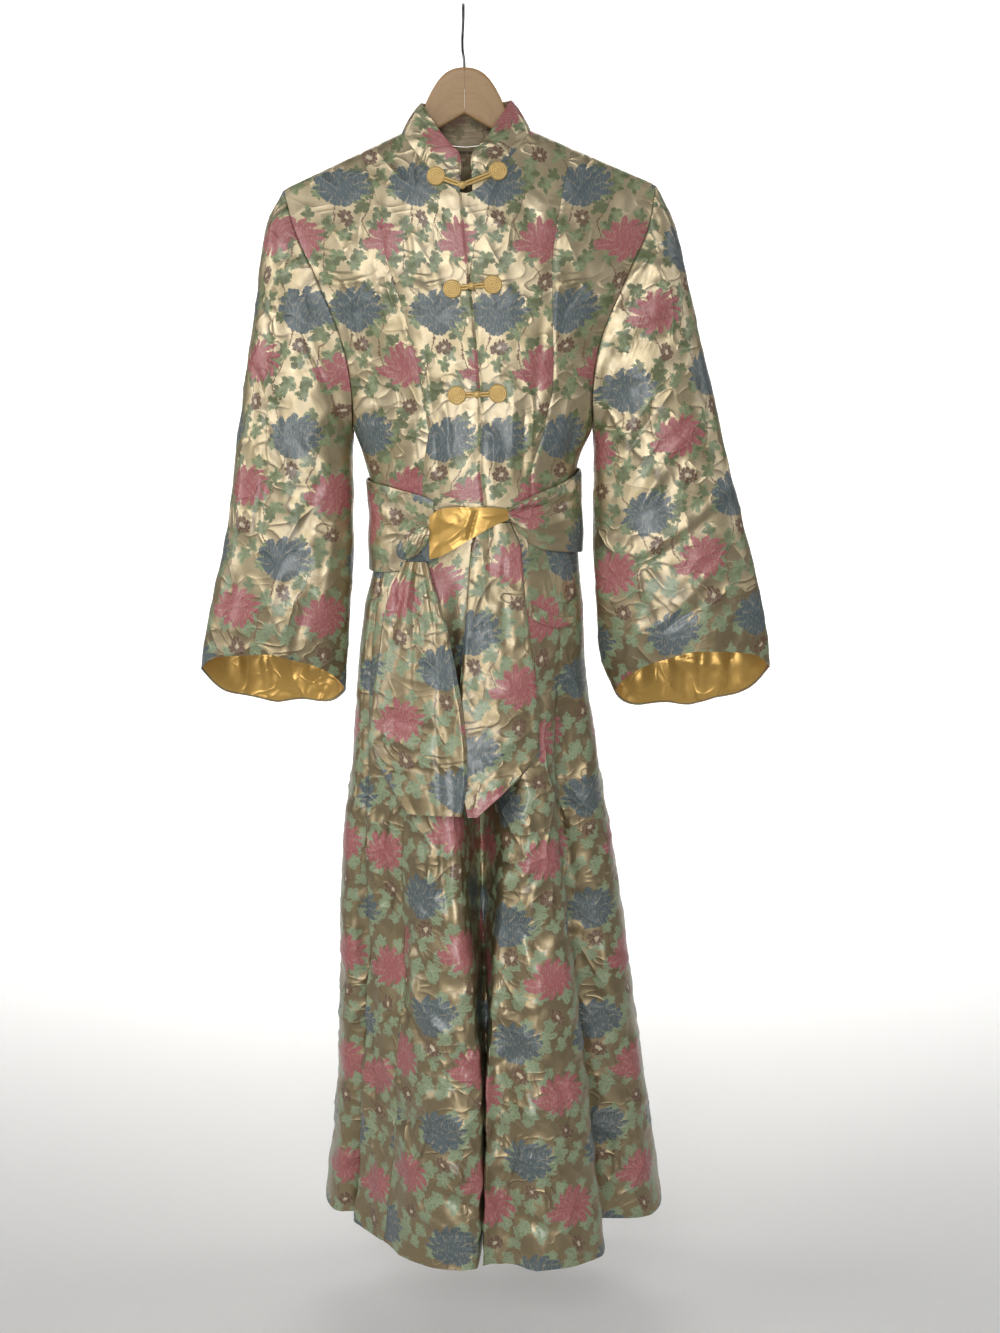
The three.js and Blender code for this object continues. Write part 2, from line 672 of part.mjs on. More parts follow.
// The collar above one place of the neckline.
function collarTop({ x, y, z }) {
  const out = clamp(Math.abs(x - NECK_X) / NECK_HALF, 0, 1);
  const toEnd = y < 0 ? Math.min(Math.abs(x - COLLAR_ENDS.left),
    Math.abs(x - COLLAR_ENDS.right)) : COLLAR_CORNER;
  const inCorner = COLLAR_CORNER - Math.min(toEnd, COLLAR_CORNER);
  const cut = COLLAR_CORNER - Math.sqrt(COLLAR_CORNER ** 2 - inCorner ** 2);
  const rise = COLLAR_RISE + COLLAR_EXTRA * (1 - out ** 2) - cut;
  return new THREE.Vector3(NECK_X + (x - NECK_X) * COLLAR_TOP_HALF / NECK_HALF,
    y * COLLAR_DEPTH_LEAN, z + rise);
}

{
  const edge = necklineEdge();
  const tops = edge.map(({ outer }) => collarTop(outer));
  const steps = edge.map(({ outer }, j) => tops[j].clone().sub(outer).setLength(SEAM));
  const bottom = edge.map(({ outer }, j) => outer.clone().add(steps[j]));
  const rows = COLLAR_ROWS.map((up) => bottom.map((p, j) => {
    const away = new THREE.Vector3(p.x - NECK_X, p.y * 1.6, 0).normalize();
    return p.clone().lerp(tops[j], up).addScaledVector(away, COLLAR_SWELL * 4 * up * (1 - up));
  }));
  const normals = gridNormals(rows, () => new THREE.Vector3(NECK_X, 0, NECK_TOP_Z));
  const inner = moved(rows, normals, -WALL);
  inner[0] = edge.map((p, j) => p.inner.clone().add(steps[j]));
  piece("collar", wall(rows, inner), BROCADE);
}

// ---------------------------------------------------------------- belt

// Point on the smooth body at an angle and height, moved out along its normal.
function beltPoint(angle, z, out) {
  const step = 0.5;
  const round = bodyPoint(angle + step, z, false).sub(bodyPoint(angle - step, z, false));
  const up = bodyPoint(angle, z + step, false).sub(bodyPoint(angle, z - step, false));
  return bodyPoint(angle, z, false).addScaledVector(round.cross(up).normalize(), out);
}

// The angle at which the smooth body's front has a given x.
function angleAt(x, z) {
  const ring = ringAt(z);
  const s = clamp((x - ring.x) / ring.half, -1, 1);
  return Math.asin(Math.sign(s) * Math.abs(s) ** (SQUARENESS / 2)) / DEG;
}

const lying = (x, z, out) => beltPoint(angleAt(x, z), z, out);

const beltAngles = Array.from({ length: BELT_COLUMNS }, (_, i) =>
  mix(BELT_EDGES[0].angle, BELT_EDGES.at(-1).angle, i / (BELT_COLUMNS - 1)));
const beltRow = (share, out) => beltAngles.map((angle) => {
  const edge = (column) => along(BELT_EDGES, "angle", column, angle);
  return beltPoint(angle, mix(edge("top"), edge("bottom"), share), out);
});
const beltSkin = (out) => [0, 0.5, 1].map((share) => beltRow(share, out));
piece("belt_band", wall(beltSkin(BELT_CLEAR + WALL), beltSkin(BELT_CLEAR)), BROCADE_SHADE);

function beltTail(name, table) {
  const skin = (extra) => table.map(({ z, left, right, out }) =>
    Array.from({ length: 6 }, (_, j) => lying(mix(left, right, j / 5), z, out + extra)));
  piece(name, wall(skin(WALL), skin(0)), BROCADE);
}
beltTail("belt_tail_left", TAIL_LEFT);
beltTail("belt_tail_right", TAIL_RIGHT);

const turnSkin = (extra) => [0, 0.5, 1].map((share) => Array.from({ length: 9 }, (_, j) => {
  const x = mix(BELT_TURN[0].x, BELT_TURN.at(-1).x, j / 8);
  const at = (column) => along(BELT_TURN, "x", column, x);
  return lying(x, mix(at("top"), at("bottom"), share), at("out") + extra);
}));
piece("belt_turn", wall(turnSkin(WALL), turnSkin(0)), GOLD_SATIN);

// The knot is a flattened roll of cloth.
{
  const geometry = mergeClean(new THREE.SphereGeometry(1, 12, 8));
  const mesh = piece("belt_knot", geometry, BROCADE_SHADE);
  mesh.scale.set(KNOT.wide / 2, KNOT.deep / 2, KNOT.tall / 2);
  mesh.rotation.z = -angleOfSurface(KNOT.x, KNOT.z);
  mesh.position.copy(lying(KNOT.x, KNOT.z, KNOT.out));
}

function angleOfSurface(x, z) {
  const a = lying(x - 5, z, 0);
  const b = lying(x + 5, z, 0);
  return -Math.atan2(b.y - a.y, b.x - a.x);
}

// A standard geometry with its shared vertices merged.
function mergeClean(geometry) {
  geometry.deleteAttribute("normal");
  geometry.deleteAttribute("uv");
  return mergeVertices(geometry, 1e-4);
}

// ---------------------------------------------------------------- pocket

const pocketSkin = (out) => [0, 1].map((share) => Array.from({ length: 8 }, (_, j) => {
  const x = mix(POCKET[0].x, POCKET.at(-1).x, j / 7);
  const at = (column) => along(POCKET, "x", column, x);
  return lying(x, mix(at("top"), at("bottom"), share), out);
}));
piece("pocket_welt", wall(pocketSkin(POCKET_CLEAR + POCKET_WALL), pocketSkin(POCKET_CLEAR)),
  BROCADE_SHADE);

// ---------------------------------------------------------------- frog closures

const FROG_THICK = 3.4;
const FROG_OUT = 0.9;             // under side of the discs above the cloth
const FROG_KNOT = 9.2;            // ball of the knot, across
const COLLAR_FROG_OUT = 2.7;

// Place on the bodice's front, and the direction out of it. The highest closure lies over
// the collar's seam, so it stands upright and clear of the collar's swell.
function frontSeat(x, z) {
  const point = bodicePoint(x, z, -1);
  const normal = bodiceNormal(x, z, -1);
  if (z > neckZ(NECK_X, -1) - FROG_DISC / 2) {
    normal.setZ(0).normalize();
    point.addScaledVector(normal, COLLAR_FROG_OUT);
  }
  return { point, normal };
}

function frogDisc(name, x, z) {
  const r = FROG_DISC / 2;
  const profile = [[0, 0], [r - 1, 0], [r, FROG_THICK / 2], [r - 1.4, FROG_THICK], [0, FROG_THICK]];
  const lathe = new THREE.LatheGeometry(profile.map(([a, b]) => new THREE.Vector2(a, b)), 14);
  const mesh = piece(name, mergeClean(lathe), GOLD_CORD);
  const seat = frontSeat(x, z);
  mesh.quaternion.setFromUnitVectors(new THREE.Vector3(0, 1, 0), seat.normal);
  mesh.position.copy(seat.point).addScaledVector(seat.normal, FROG_OUT);
}

// Twin cords side by side, as one bar with a round outline, from a disc to the knot.
function frogCords(name, from, to, normal) {
  const across = to.clone().sub(from);
  const length = across.length();
  const shape = new THREE.Shape();
  shape.absellipse(0, 0, FROG_CORD, FROG_CORD / 2, 0, 2 * Math.PI, false, 0);
  const bar = new THREE.ExtrudeGeometry(shape,
    { depth: length, bevelEnabled: false, curveSegments: 5 });
  const mesh = piece(name, mergeClean(bar), GOLD_CORD);
  const z = across.normalize();
  const y = normal.clone().addScaledVector(z, -normal.dot(z)).normalize();
  mesh.quaternion.setFromRotationMatrix(
    new THREE.Matrix4().makeBasis(new THREE.Vector3().crossVectors(y, z), y, z));
  mesh.position.copy(from);
}

const knotRadius = FROG_KNOT / 2;
const cordLift = FROG_OUT + FROG_CORD / 2 + 0.2;

for (const frog of FROGS) {
  frogDisc(`frog_${frog.name}_disc_left`, frog.left_x, frog.left_z);
  frogDisc(`frog_${frog.name}_disc_right`, frog.right_x, frog.right_z);
  const knotSeat = frontSeat(frog.knot_x, frog.knot_z);
  const knot = knotSeat.point.clone().addScaledVector(knotSeat.normal, FROG_OUT + knotRadius);
  const ball = piece(`frog_${frog.name}_knot`,
    mergeClean(new THREE.SphereGeometry(knotRadius, 10, 7)), GOLD_CORD);
  ball.position.copy(knot);
  for (const side of ["left", "right"]) {
    const seat = frontSeat(frog[`${side}_x`], frog[`${side}_z`]);
    const disc = seat.point.clone().addScaledVector(seat.normal, cordLift);
    const low = knotSeat.point.clone().addScaledVector(knotSeat.normal, cordLift + 1);
    const way = low.clone().sub(disc);
    const length = way.length();
    way.normalize();
    const from = disc.clone().addScaledVector(way, FROG_DISC / 2 + SEAM);
    const to = disc.clone().addScaledVector(way, length - knotRadius - 0.5);
    frogCords(`frog_${frog.name}_cord_${side}`, from, to, seat.normal);
  }
}

// ---------------------------------------------------------------- hang loop

// The loop's cord, across the inside of the back neck: how far it stands away from its two
// ends, towards the front and upwards.
const HANG_LOOP = columns(["x", "forward", "rise"], [
  [-12, 0, -2],
  [-6, 2.2, 0.5],
  [0, 3, 1.5],
  [8, 3, 1],
  [16, 2.2, 0],
  [20, 0, -3],
]);
const LOOP_CORD = 2.6;
const LOOP_BELOW_NECK = 6;
const LOOP_BEHIND = 2.2;          // the cord's middle, in front of the inside of the cloth

{
  const z = neckZ(NECK_X, 1) - LOOP_BELOW_NECK;
  const y = bodiceDepth(NECK_X, z, 1) - WALL - LOOP_BEHIND;
  const path = new THREE.CatmullRomCurve3(HANG_LOOP.map(({ x, forward, rise }) =>
    new THREE.Vector3(x, y - forward, z + rise)));
  const section = new THREE.Shape();
  section.absellipse(0, 0, LOOP_CORD / 2, LOOP_CORD / 2, 0, 2 * Math.PI, false, 0);
  const tube = new THREE.ExtrudeGeometry(section,
    { steps: 8, extrudePath: path, curveSegments: 3, bevelEnabled: false });
  piece("hang_loop", mergeClean(tube), BROCADE);
}

// ---------------------------------------------------------------- hanger

// The arms' outlines, with x measured out from the joint. The top edge of an arm follows
// the shoulder seam of its side.
const JOINT_X = 1;
const ARM_CROWN = [[0, -70], [16, -73], [31, -85], [44, -107], [53, -127], [60, -142]];
const ARM_TIP = [[ARM_TIP_X + 7, -228], [ARM_TIP_X, -235], [ARM_TIP_X - 12, -232]];
const ARM_UNDER = [[140, -198], [81, -168], [33, -142], [0, -124]];

function hangerArm(outward) {
  const seat = (x) => [x, shoulderZ(JOINT_X + outward * x) - HANGER_DROP];
  const [tipX, tipZ] = seat(ARM_TIP_X + 2);
  const outline = [...ARM_CROWN, seat(91), seat(140), seat(ARM_TIP_X - 8), [tipX, tipZ - 3],
    ...ARM_TIP, ...ARM_UNDER].map(([x, z]) => new THREE.Vector2(outward * (x + SEAM / 2), z));
  const shape = new THREE.Shape(outward > 0 ? outline : outline.reverse());
  const arm = new THREE.ExtrudeGeometry(shape, { depth: HANGER_THICKNESS - 2 * HANGER_EDGE,
    bevelThickness: HANGER_EDGE, bevelSize: HANGER_EDGE, bevelOffset: -HANGER_EDGE,
    bevelSegments: 1, steps: 1 });
  arm.rotateX(Math.PI / 2);
  arm.translate(JOINT_X, HANGER_THICKNESS / 2 - HANGER_EDGE, 0);
  return mergeClean(arm);
}

function solidOf(geometry) {
  return new wasm.Manifold(new wasm.Mesh({ numProp: 3,
    vertProperties: new Float32Array(geometry.attributes.position.array),
    triVerts: new Uint32Array(geometry.index.array) }));
}

function geometryOf(solid) {
  const mesh = solid.getMesh();
  const geometry = new THREE.BufferGeometry();
  geometry.setAttribute("position", new THREE.BufferAttribute(mesh.vertProperties, 3));
  geometry.setIndex(new THREE.BufferAttribute(mesh.triVerts, 1));
  return geometry;
}

const HOOK_FOOT_Z = -95;          // end of the wire inside the wood
const HOOK_BORE_TOP_Z = -35;
const HOOK_NECK_Z = -44;
const HOOK_LEAN = -1.6;           // how far the wire leans to the left below its turn
const HOOK_TURN = { from: -50, to: 200 };       // the wire's arc round the rail, in degrees
const HOOK_STEPS = 10;
const wood = (color) =>
  new THREE.MeshStandardMaterial({ color, roughness: 0.5, metalness: 0 });

{
  const foot = HOOK_FOOT_Z - SEAM;
  const boreRadius = WIRE / 2 + SEAM;
  const bore = new THREE.CylinderGeometry(boreRadius, boreRadius, HOOK_BORE_TOP_Z - foot, 12);
  bore.rotateX(Math.PI / 2);
  bore.translate(JOINT_X, 0, (HOOK_BORE_TOP_Z + foot) / 2);
  const hole = solidOf(mergeClean(bore));
  for (const [side, outward] of [["left", -1], ["right", 1]]) {
    const arm = solidOf(hangerArm(outward)).subtract(hole);
    const mesh = new THREE.Mesh(geometryOf(arm), wood(WOOD));
    mesh.name = `hanger_arm_${side}`;
    group.add(mesh);
  }
}

// The hook's wire rises from the wood, leans a little and turns over the rail.
{
  const bend = HOOK_RADIUS + WIRE / 2;
  const points = [[JOINT_X, 0, HOOK_FOOT_Z], [JOINT_X, 0, -75], [JOINT_X - 0.4, 0, -62],
    [-1, 3, HOOK_NECK_Z - 7]].map((p) => new THREE.Vector3(...p));
  for (let i = 0; i <= HOOK_STEPS; i++) {
    const turn = mix(HOOK_TURN.from, HOOK_TURN.to, i / HOOK_STEPS) * DEG;
    points.push(new THREE.Vector3(mix(HOOK_LEAN, 0, smooth(i / HOOK_STEPS * 2)),
      bend * Math.cos(turn), -HOOK_RADIUS + bend * Math.sin(turn)));
  }
  const path = new THREE.CatmullRomCurve3(points, false, "centripetal");
  const section = new THREE.Shape();
  section.absellipse(0, 0, WIRE / 2, WIRE / 2, 0, 2 * Math.PI, false, 0);
  const tube = new THREE.ExtrudeGeometry(section,
    { steps: 36, extrudePath: path, curveSegments: 4, bevelEnabled: false });
  const mesh = new THREE.Mesh(mergeClean(tube),
    new THREE.MeshStandardMaterial({ color: "#5b5c60", roughness: 0.35, metalness: 1 }));
  mesh.name = "hanger_hook";
  group.add(mesh);
}

export default group;
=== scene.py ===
"""Full-length brocade robe with a stand collar, wide sleeves, frog closures and a tie
belt, on a wooden hanger with a wire hook.

Lengths in the tables are millimetres and angles are degrees. +Z is up, the front faces
-Y, +X is to the right of someone who faces it, and the origin is the top of the inside
of the hook. Each piece of cloth is a grid of points worked out from a few curves, moved
out or in by its creases, with an inner wall behind it."""

import math

import bmesh
import bpy
import mathutils
import numpy as np
from bpy.props import FloatProperty, FloatVectorProperty, PointerProperty
from bpy.types import Operator, Panel, PropertyGroup
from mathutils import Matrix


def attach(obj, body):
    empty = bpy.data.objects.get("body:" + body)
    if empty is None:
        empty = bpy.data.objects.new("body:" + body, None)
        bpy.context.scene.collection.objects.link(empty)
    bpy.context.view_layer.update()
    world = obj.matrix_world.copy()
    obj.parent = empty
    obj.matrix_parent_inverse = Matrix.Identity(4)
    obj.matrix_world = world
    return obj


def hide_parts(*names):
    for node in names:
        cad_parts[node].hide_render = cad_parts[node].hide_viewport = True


bl_info = {
    "name": "Brocade robe",
    "version": (1, 0, 0),
    "blender": (4, 5, 0),
    "location": "3D View > Sidebar > Robe",
    "description": "Makes a brocade robe on a hanger, piece by piece",
    "category": "Object",
}

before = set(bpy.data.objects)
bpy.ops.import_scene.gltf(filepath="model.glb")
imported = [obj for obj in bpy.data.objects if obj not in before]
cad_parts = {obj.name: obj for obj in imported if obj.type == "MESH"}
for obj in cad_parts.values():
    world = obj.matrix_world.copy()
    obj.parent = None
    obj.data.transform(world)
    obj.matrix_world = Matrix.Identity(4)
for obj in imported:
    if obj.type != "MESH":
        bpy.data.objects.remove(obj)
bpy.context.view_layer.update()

# ------------------------------------------------------------------ sizes

UNDERARM_Z = -500.0
HEM_Z = -1550.0
SQUARENESS = 2.25
SEAM = 0.3

NECK_X = 3.0
NECK_HALF = 78.0
NECK_TOP_Z = -145.0
NECK_FRONT_DROP = 74.0
NECK_BACK_DROP = 16.0
NECK_CURVE = 1.5
NECK_RISE = 26.0
SHOULDER_SLOPE = 0.44
SHOULDER_TILT = 0.02
SHOULDER_RADIUS = 9.5
SETTLE = 200.0

SLEEVE_FLATNESS = 2.3
CUFF_FLATNESS = 1.65
LINING_FROM = 5.0
CUFF_TURN = 3.0

COLLAR_TOP_HALF = 54.0
COLLAR_LEFT = -4.0
COLLAR_RIGHT = 11.0
COLLAR_RISE = 36.0
COLLAR_EXTRA = 9.0
COLLAR_CORNER = 9.0
COLLAR_SWELL = 2.0
COLLAR_LEAN = 0.82

BELT_CLEAR = 3.2
FROG_OUT = 0.9
FROG_THICK = 3.4
COLLAR_FROG_OUT = 2.7

HANGER_THICKNESS = 10.0
HANGER_DROP = 3.6
JOINT_X = 1.0
HOOK_RADIUS = 21.0
WIRE = 3.2

FROG_DISC = 22.0
LOOP_CORD = 2.6
LOOP_BELOW_NECK = 6.0
LOOP_BEHIND = 2.2
LOOP_BEHIND_COLLAR = 1.8
KNOT_RADIUS = 4.6
CORD_RADIUS = 1.55
CORD_APART = 1.62
CORD_LIFT = 1.8
CORD_IN_DISC = 0.6
CORD_FROM_KNOT = 5.4
COIL_PITCH = 2.3

FROG_STILL = 17.0
SEAM_DIP = 0.9
SEAM_WIDE = 2.6
HEM_DEEP = 38.0
HEM_DIP = 0.45
HEM_WIDE = 1.6
TAIL_ROLL = 4.0
BELT_KNOT_ENDS = ((-75.0, -655.0), (-42.0, -614.0))
BELT_KNOT_WIDE = 13.5
BELT_KNOT_DEEP = 7.0
BELT_KNOT_OUT = 10.4
ARM_LENGTH = 211.0
ARM_ROUND = 9.0
LINING_CLEAR = 0.6
WELT_OUT = 2.1
WELT_BACK = 0.6

# rows and columns of points
YOKE_ROWS = 12
BODICE_ROWS = 90
SKIRT_ROWS = 211
SLEEVE_COLUMNS = 120
BELT_ROWS = 26

REPEAT = (114.0, 152.0)


class Table:
    """Rows of numbers under named columns, with a smooth curve through each column."""

    def __init__(self, names, *rows):
        self.columns = dict(zip(names.split(), np.array(rows, float).T))

    def __getitem__(self, name):
        return self.columns[name]

    def along(self, key, column, value):
        """The column's value where the key column has the given value: a cubic between
        two rows, whose slope at each row is that of the line through its neighbours."""
        order = np.argsort(self[key])
        x, y = self[key][order], self[column][order]
        slope = np.r_[(y[1] - y[0]) / (x[1] - x[0]), (y[2:] - y[:-2]) / (x[2:] - x[:-2]),
                      (y[-1] - y[-2]) / (x[-1] - x[-2])]
        v = np.clip(value, x[0], x[-1])
        i = np.clip(np.searchsorted(x, v, side="right") - 1, 0, len(x) - 2)
        span = x[i + 1] - x[i]
        t = (v - x[i]) / span
        rise = t * t * (3 - 2 * t)
        return (y[i] * (1 - rise) + y[i + 1] * rise + slope[i] * span * t * (1 - t) ** 2
                - slope[i + 1] * span * t * t * (1 - t))


# The stage, in metres. The sweep is a floor that bends up into a wall.
FLOOR_Z = -1.68
SWEEP_HALF = 5.0
SWEEP_NEAR = -5.0
SWEEP_FAR = 2.0
SWEEP_TOP = 4.5
SWEEP_BEND = 0.9
CAMERA_AT = (0.04365, -2.4, -0.33511)
CAMERA_TILT = 79.0
SENSOR = 36.0
ROOM_COLOUR = (0.94, 0.97, 1.0, 1.0)
ROOM_SEEN = 0.85
# The paper's own light as the camera sees it: from one distance to the other.
GLOW_FROM, GLOW_TO = 0.5, 2.6
GLOW_NEAR, GLOW_FAR = 0.12, 0.55
# Painted shade and sheen: from the first height down to the second the ground is painted browner
# and darker, standing in for the light falling off, and the leaves paler, standing in for the sheen
# of their threads.
PAINTED_FALLOFF_FROM_Z, PAINTED_FALLOFF_TO_Z = -0.5, -0.85
# lamp: the setting that gives its power, its share of that, spread in degrees, width,
# height, place, and the place that it is aimed at
LAMPS = {
    "key": ("key", 1.0, 60, 2.2, 1.5, (-0.55, -2.9, 0.8), (-0.05, 0.0, -0.55)),
    "fill": ("fill", 1.0, 90, 0.8, 0.8, (0.05, -2.8, -0.9), (0.05, 0.0, -1.2)),
    "left": ("side", 1.0, 75, 1.0, 1.8, (-2.3, -0.9, -0.2), (0.0, 0.0, -0.7)),
    "right": ("side", 0.4, 75, 1.0, 1.8, (2.4, -0.6, 0.2), (0.0, 0.0, -0.7)),
    "behind": ("side", 0.7, 90, 1.6, 0.8, (0.0, 1.6, 1.1), (0.0, 0.0, -0.7)),
    "paper left": ("back", 1.0, 75, 1.2, 1.2, (-1.7, 0.5, 1.2), (0.4, 2.0, -0.8)),
    "paper right": ("back", 1.0, 75, 1.2, 1.2, (1.7, 0.5, 1.2), (-0.4, 2.0, -0.8)),
}

# The body's extents at each height; "middle" is the depth at which it is widest.
BODY_RINGS = Table(
    "z left right front back middle",
    (-140, -252, 268, -50, 40, 0), (-230, -246, 262, -56, 46, 0),
    (-320, -214, 226, -66, 54, 0), (-400, -174, 188, -72, 58, 0),
    (-500, -138, 158, -72, 58, 0), (-545, -123, 140, -70, 55, 0),
    (-590, -113, 138, -68, 52, 0), (-670, -115, 143, -70, 54, 0),
    (-720, -126, 148, -80, 63, 3), (-800, -136, 152, -96, 80, 8),
    (-920, -147, 171, -114, 106, 17), (-1000, -159, 186, -124, 122, 24),
    (-1110, -168, 205, -136, 140, 34), (-1250, -175, 226, -148, 158, 46),
    (-1390, -183, 246, -158, 174, 58), (-1550, -202, 270, -167, 192, 70))

# The skirt's seams as angles round the rings: 0 is the front, 90 the right.
BODY_SEAMS = Table(
    "z centre_front front_right side_right back_right back_left side_left front_left",
    (-500, 3, 33, 90, 148, 212, 270, 342), (-590, 4, 32, 90, 148, 212, 270, 332),
    (-690, 4, 46, 90, 147, 213, 270, 328), (-800, 5, 50, 90, 146, 214, 270, 326),
    (-960, 5, 50, 91, 144, 216, 270, 324), (-1110, 1, 50, 92, 142, 218, 269, 322),
    (-1550, -3, 51, 94, 140, 220, 268, 316))

# The bodice's seams as x, by the share of the way up from underarm to shoulder.
BODICE_SEAMS = Table(
    "up centre_front front_left front_right arm_left arm_right back_left back_right",
    (0.00, 17, -36, 90, -138, 158, -72, 92), (0.18, 17, -47, 103, -138, 157, -78, 97),
    (0.38, 15, -66, 106, -149, 167, -88, 104), (0.62, 9, -92, 107, -176, 196, -100, 112),
    (0.82, 2, -103, 117, -203, 222, -112, 120), (1.00, -2, -124, 130, -218, 232, -124, 130))

# panel: its seams on the skirt, its seams on the bodice, side (-1 front, 1 back) and
# columns
PANELS = {
    "front_right": ("centre_front", "front_right", "centre_front", "front_right", -1, 84),
    "side_front_right": ("front_right", "side_right", "front_right", "arm_right", -1, 52),
    "side_back_right": ("side_right", "back_right", "arm_right", "back_right", 1, 48),
    "centre_back": ("back_right", "back_left", "back_right", "back_left", 1, 96),
    "side_back_left": ("back_left", "side_left", "back_left", "arm_left", 1, 48),
    "side_front_left": ("side_left", "front_left", "arm_left", "front_left", -1, 64),
    "front_left": ("front_left", "centre_front", "front_left", "centre_front", -1, 72),
}

# The line down each panel on which a column of blue flowers stands.
PATTERN_LINES = {
    "front_right": Table("z x", (-200, 39), (-500, 42), (-1100, 50), (-1550, 92)),
    "side_front_right": Table("z x", (-200, 143), (-500, 116), (-900, 150), (-1550, 180)),
    "side_back_right": Table("z x", (-200, 160), (-500, 130), (-1550, 150)),
    "centre_back": Table("z x", (-200, 57), (-500, 57), (-1550, 70)),
    "side_back_left": Table("z x", (-200, -150), (-500, -110), (-1550, -140)),
    "side_front_left": Table("z x", (-200, -152), (-500, -118), (-1150, -106), (-1550, -112)),
    "front_left": Table("z x", (-200, -61), (-500, -20), (-700, -90), (-1080, -57),
                        (-1550, -10)),
}
FLOWER_Z = -209.0
BLOUSED = 40.0

# fold: panel, share across it, half width in degrees at the top and at the hem, depth at
# the hem, the height at which it starts, and how square its sides are
SKIRT_FOLDS = (
    ("front_right", 0.00, 15, 0.4, 105, -640, 8.0), ("front_right", 0.10, 12, 6, 26, -800, 3.2),
    ("side_front_right", 0.10, 10, 11, 86, -740, 3.2),
    ("side_back_right", 0.38, 8, 10, 48, -800, 3.2), ("centre_back", 0.08, 8, 9, 60, -760, 3.2),
    ("centre_back", 0.54, 8, 10, 54, -820, 3.2), ("centre_back", 0.92, 8, 9, 66, -740, 3.2),
    ("side_back_left", 0.46, 8, 9, 50, -780, 3.2),
    ("side_front_left", 0.45, 3, 3, 34, -620, 5.0),
    ("side_front_left", 0.86, 16, 22, 42, -780, 3.2))

# The sleeves' rings: outer and inner fold, middle depth, half depths, and the lift of
# the front over the back.
RING_NAMES = "ring outer_x outer_z inner_x inner_z middle front back lift"
SLEEVE_RINGS = {
    "left": Table(RING_NAMES,
                  (1, -239, -250, -138.8, -511, 2, 42, 38, 0),
                  (2, -249, -303, -139.5, -528, 2, 44, 40, 0),
                  (3, -264, -400, -139.5, -590, 0, 44, 40, 0),
                  (4, -280, -500, -140, -650, -3, 42, 38, 0),
                  (5, -296, -620, -145, -722, -5, 42, 38, 6),
                  (6, -322, -730, -150, -784, -4, 44, 42, 22),
                  (7, -336, -806, -153, -829, -2, 44, 46, 40)),
    "right": Table(RING_NAMES,
                   (1, 254, -248, 158.8, -511, 2, 42, 38, 0),
                   (2, 269, -305, 159.5, -528, 2, 44, 40, 0),
                   (3, 292, -400, 160.5, -590, 0, 44, 40, 0),
                   (4, 317, -500, 161, -652, -3, 42, 38, 0),
                   (5, 348, -620, 165, -726, -5, 42, 38, 6),
                   (6, 376, -730, 172, -790, -4, 46, 42, 24),
                   (7, 386, -803, 190, -832, -2, 46, 48, 44)),
}

BELT_EDGES = Table(
    "angle top bottom",
    (16, -594, -606), (22, -586, -622), (32, -577, -640), (50, -566, -648),
    (90, -550, -654), (180, -556, -660), (270, -562, -675), (306, -566, -674),
    (333, -577, -662), (340, -583, -655))
TAILS = {
    "left": Table("z left right out",
                  (-658.6, -70, -43, 7), (-690, -84, -35, 7.5), (-735, -94, -20, 9),
                  (-785, -101, -10, 10), (-835, -107, -1, 10), (-883, -114, 4, 10),
                  (-925, -91, 4, 10), (-964, -68, -2, 10)),
    "right": Table("z left right out",
                   (-610, 16, 57, 4), (-640, 8, 69, 4.5), (-697, 3, 73, 4.5),
                   (-750, 0, 79, 4.5), (-816, -6, 88, 5), (-894, -12, 91, 5),
                   (-930, -6, 57, 5), (-966, 4, 16, 5)),
}
BELT_TURN = Table("x top bottom out",
                  (-40.5, -602, -655, 8), (-26, -592, -650, 11), (11, -590, -627, 11),
                  (36, -591, -613, 8), (56, -594, -605, 4.3))
POCKET = Table("x top bottom",
               (78, -707, -724), (92, -716, -734), (114, -728, -741), (136, -730, -742))
FROGS = {  # left disc, right disc and knot
    "collar": ((-32, -199), (41, -193), (-1, -210)),
    "chest": ((-13, -331), (35, -326), (10, -328)),
    "bust": ((-8, -456), (41, -454), (16, -455)),
}
HANG_LOOP = Table("x forward rise", (-12, 0, -2), (-6, 2.2, 0.5), (0, 3, 1.5), (8, 3, 1),
                  (16, 2.2, 0), (20, 0, -3))
ARM_CROWN = Table("x z", (0, -70), (9, -70.9), (18, -74), (27, -80.5), (36, -92),
                  (44, -106.5), (53, -127), (60, -142), (66, -146))
ARM_UNDER = Table("x z", (0, -124), (33, -142), (81, -168), (140, -198), (192, -232),
                  (212, -240))

# ------------------------------------------------------------------ creases
# Each crease is a soft ridge (a trough where it is less than 0 high) on a line from one
# place to another, as seen from the front or the back: x0 z0 x1 z1 high wide bow.

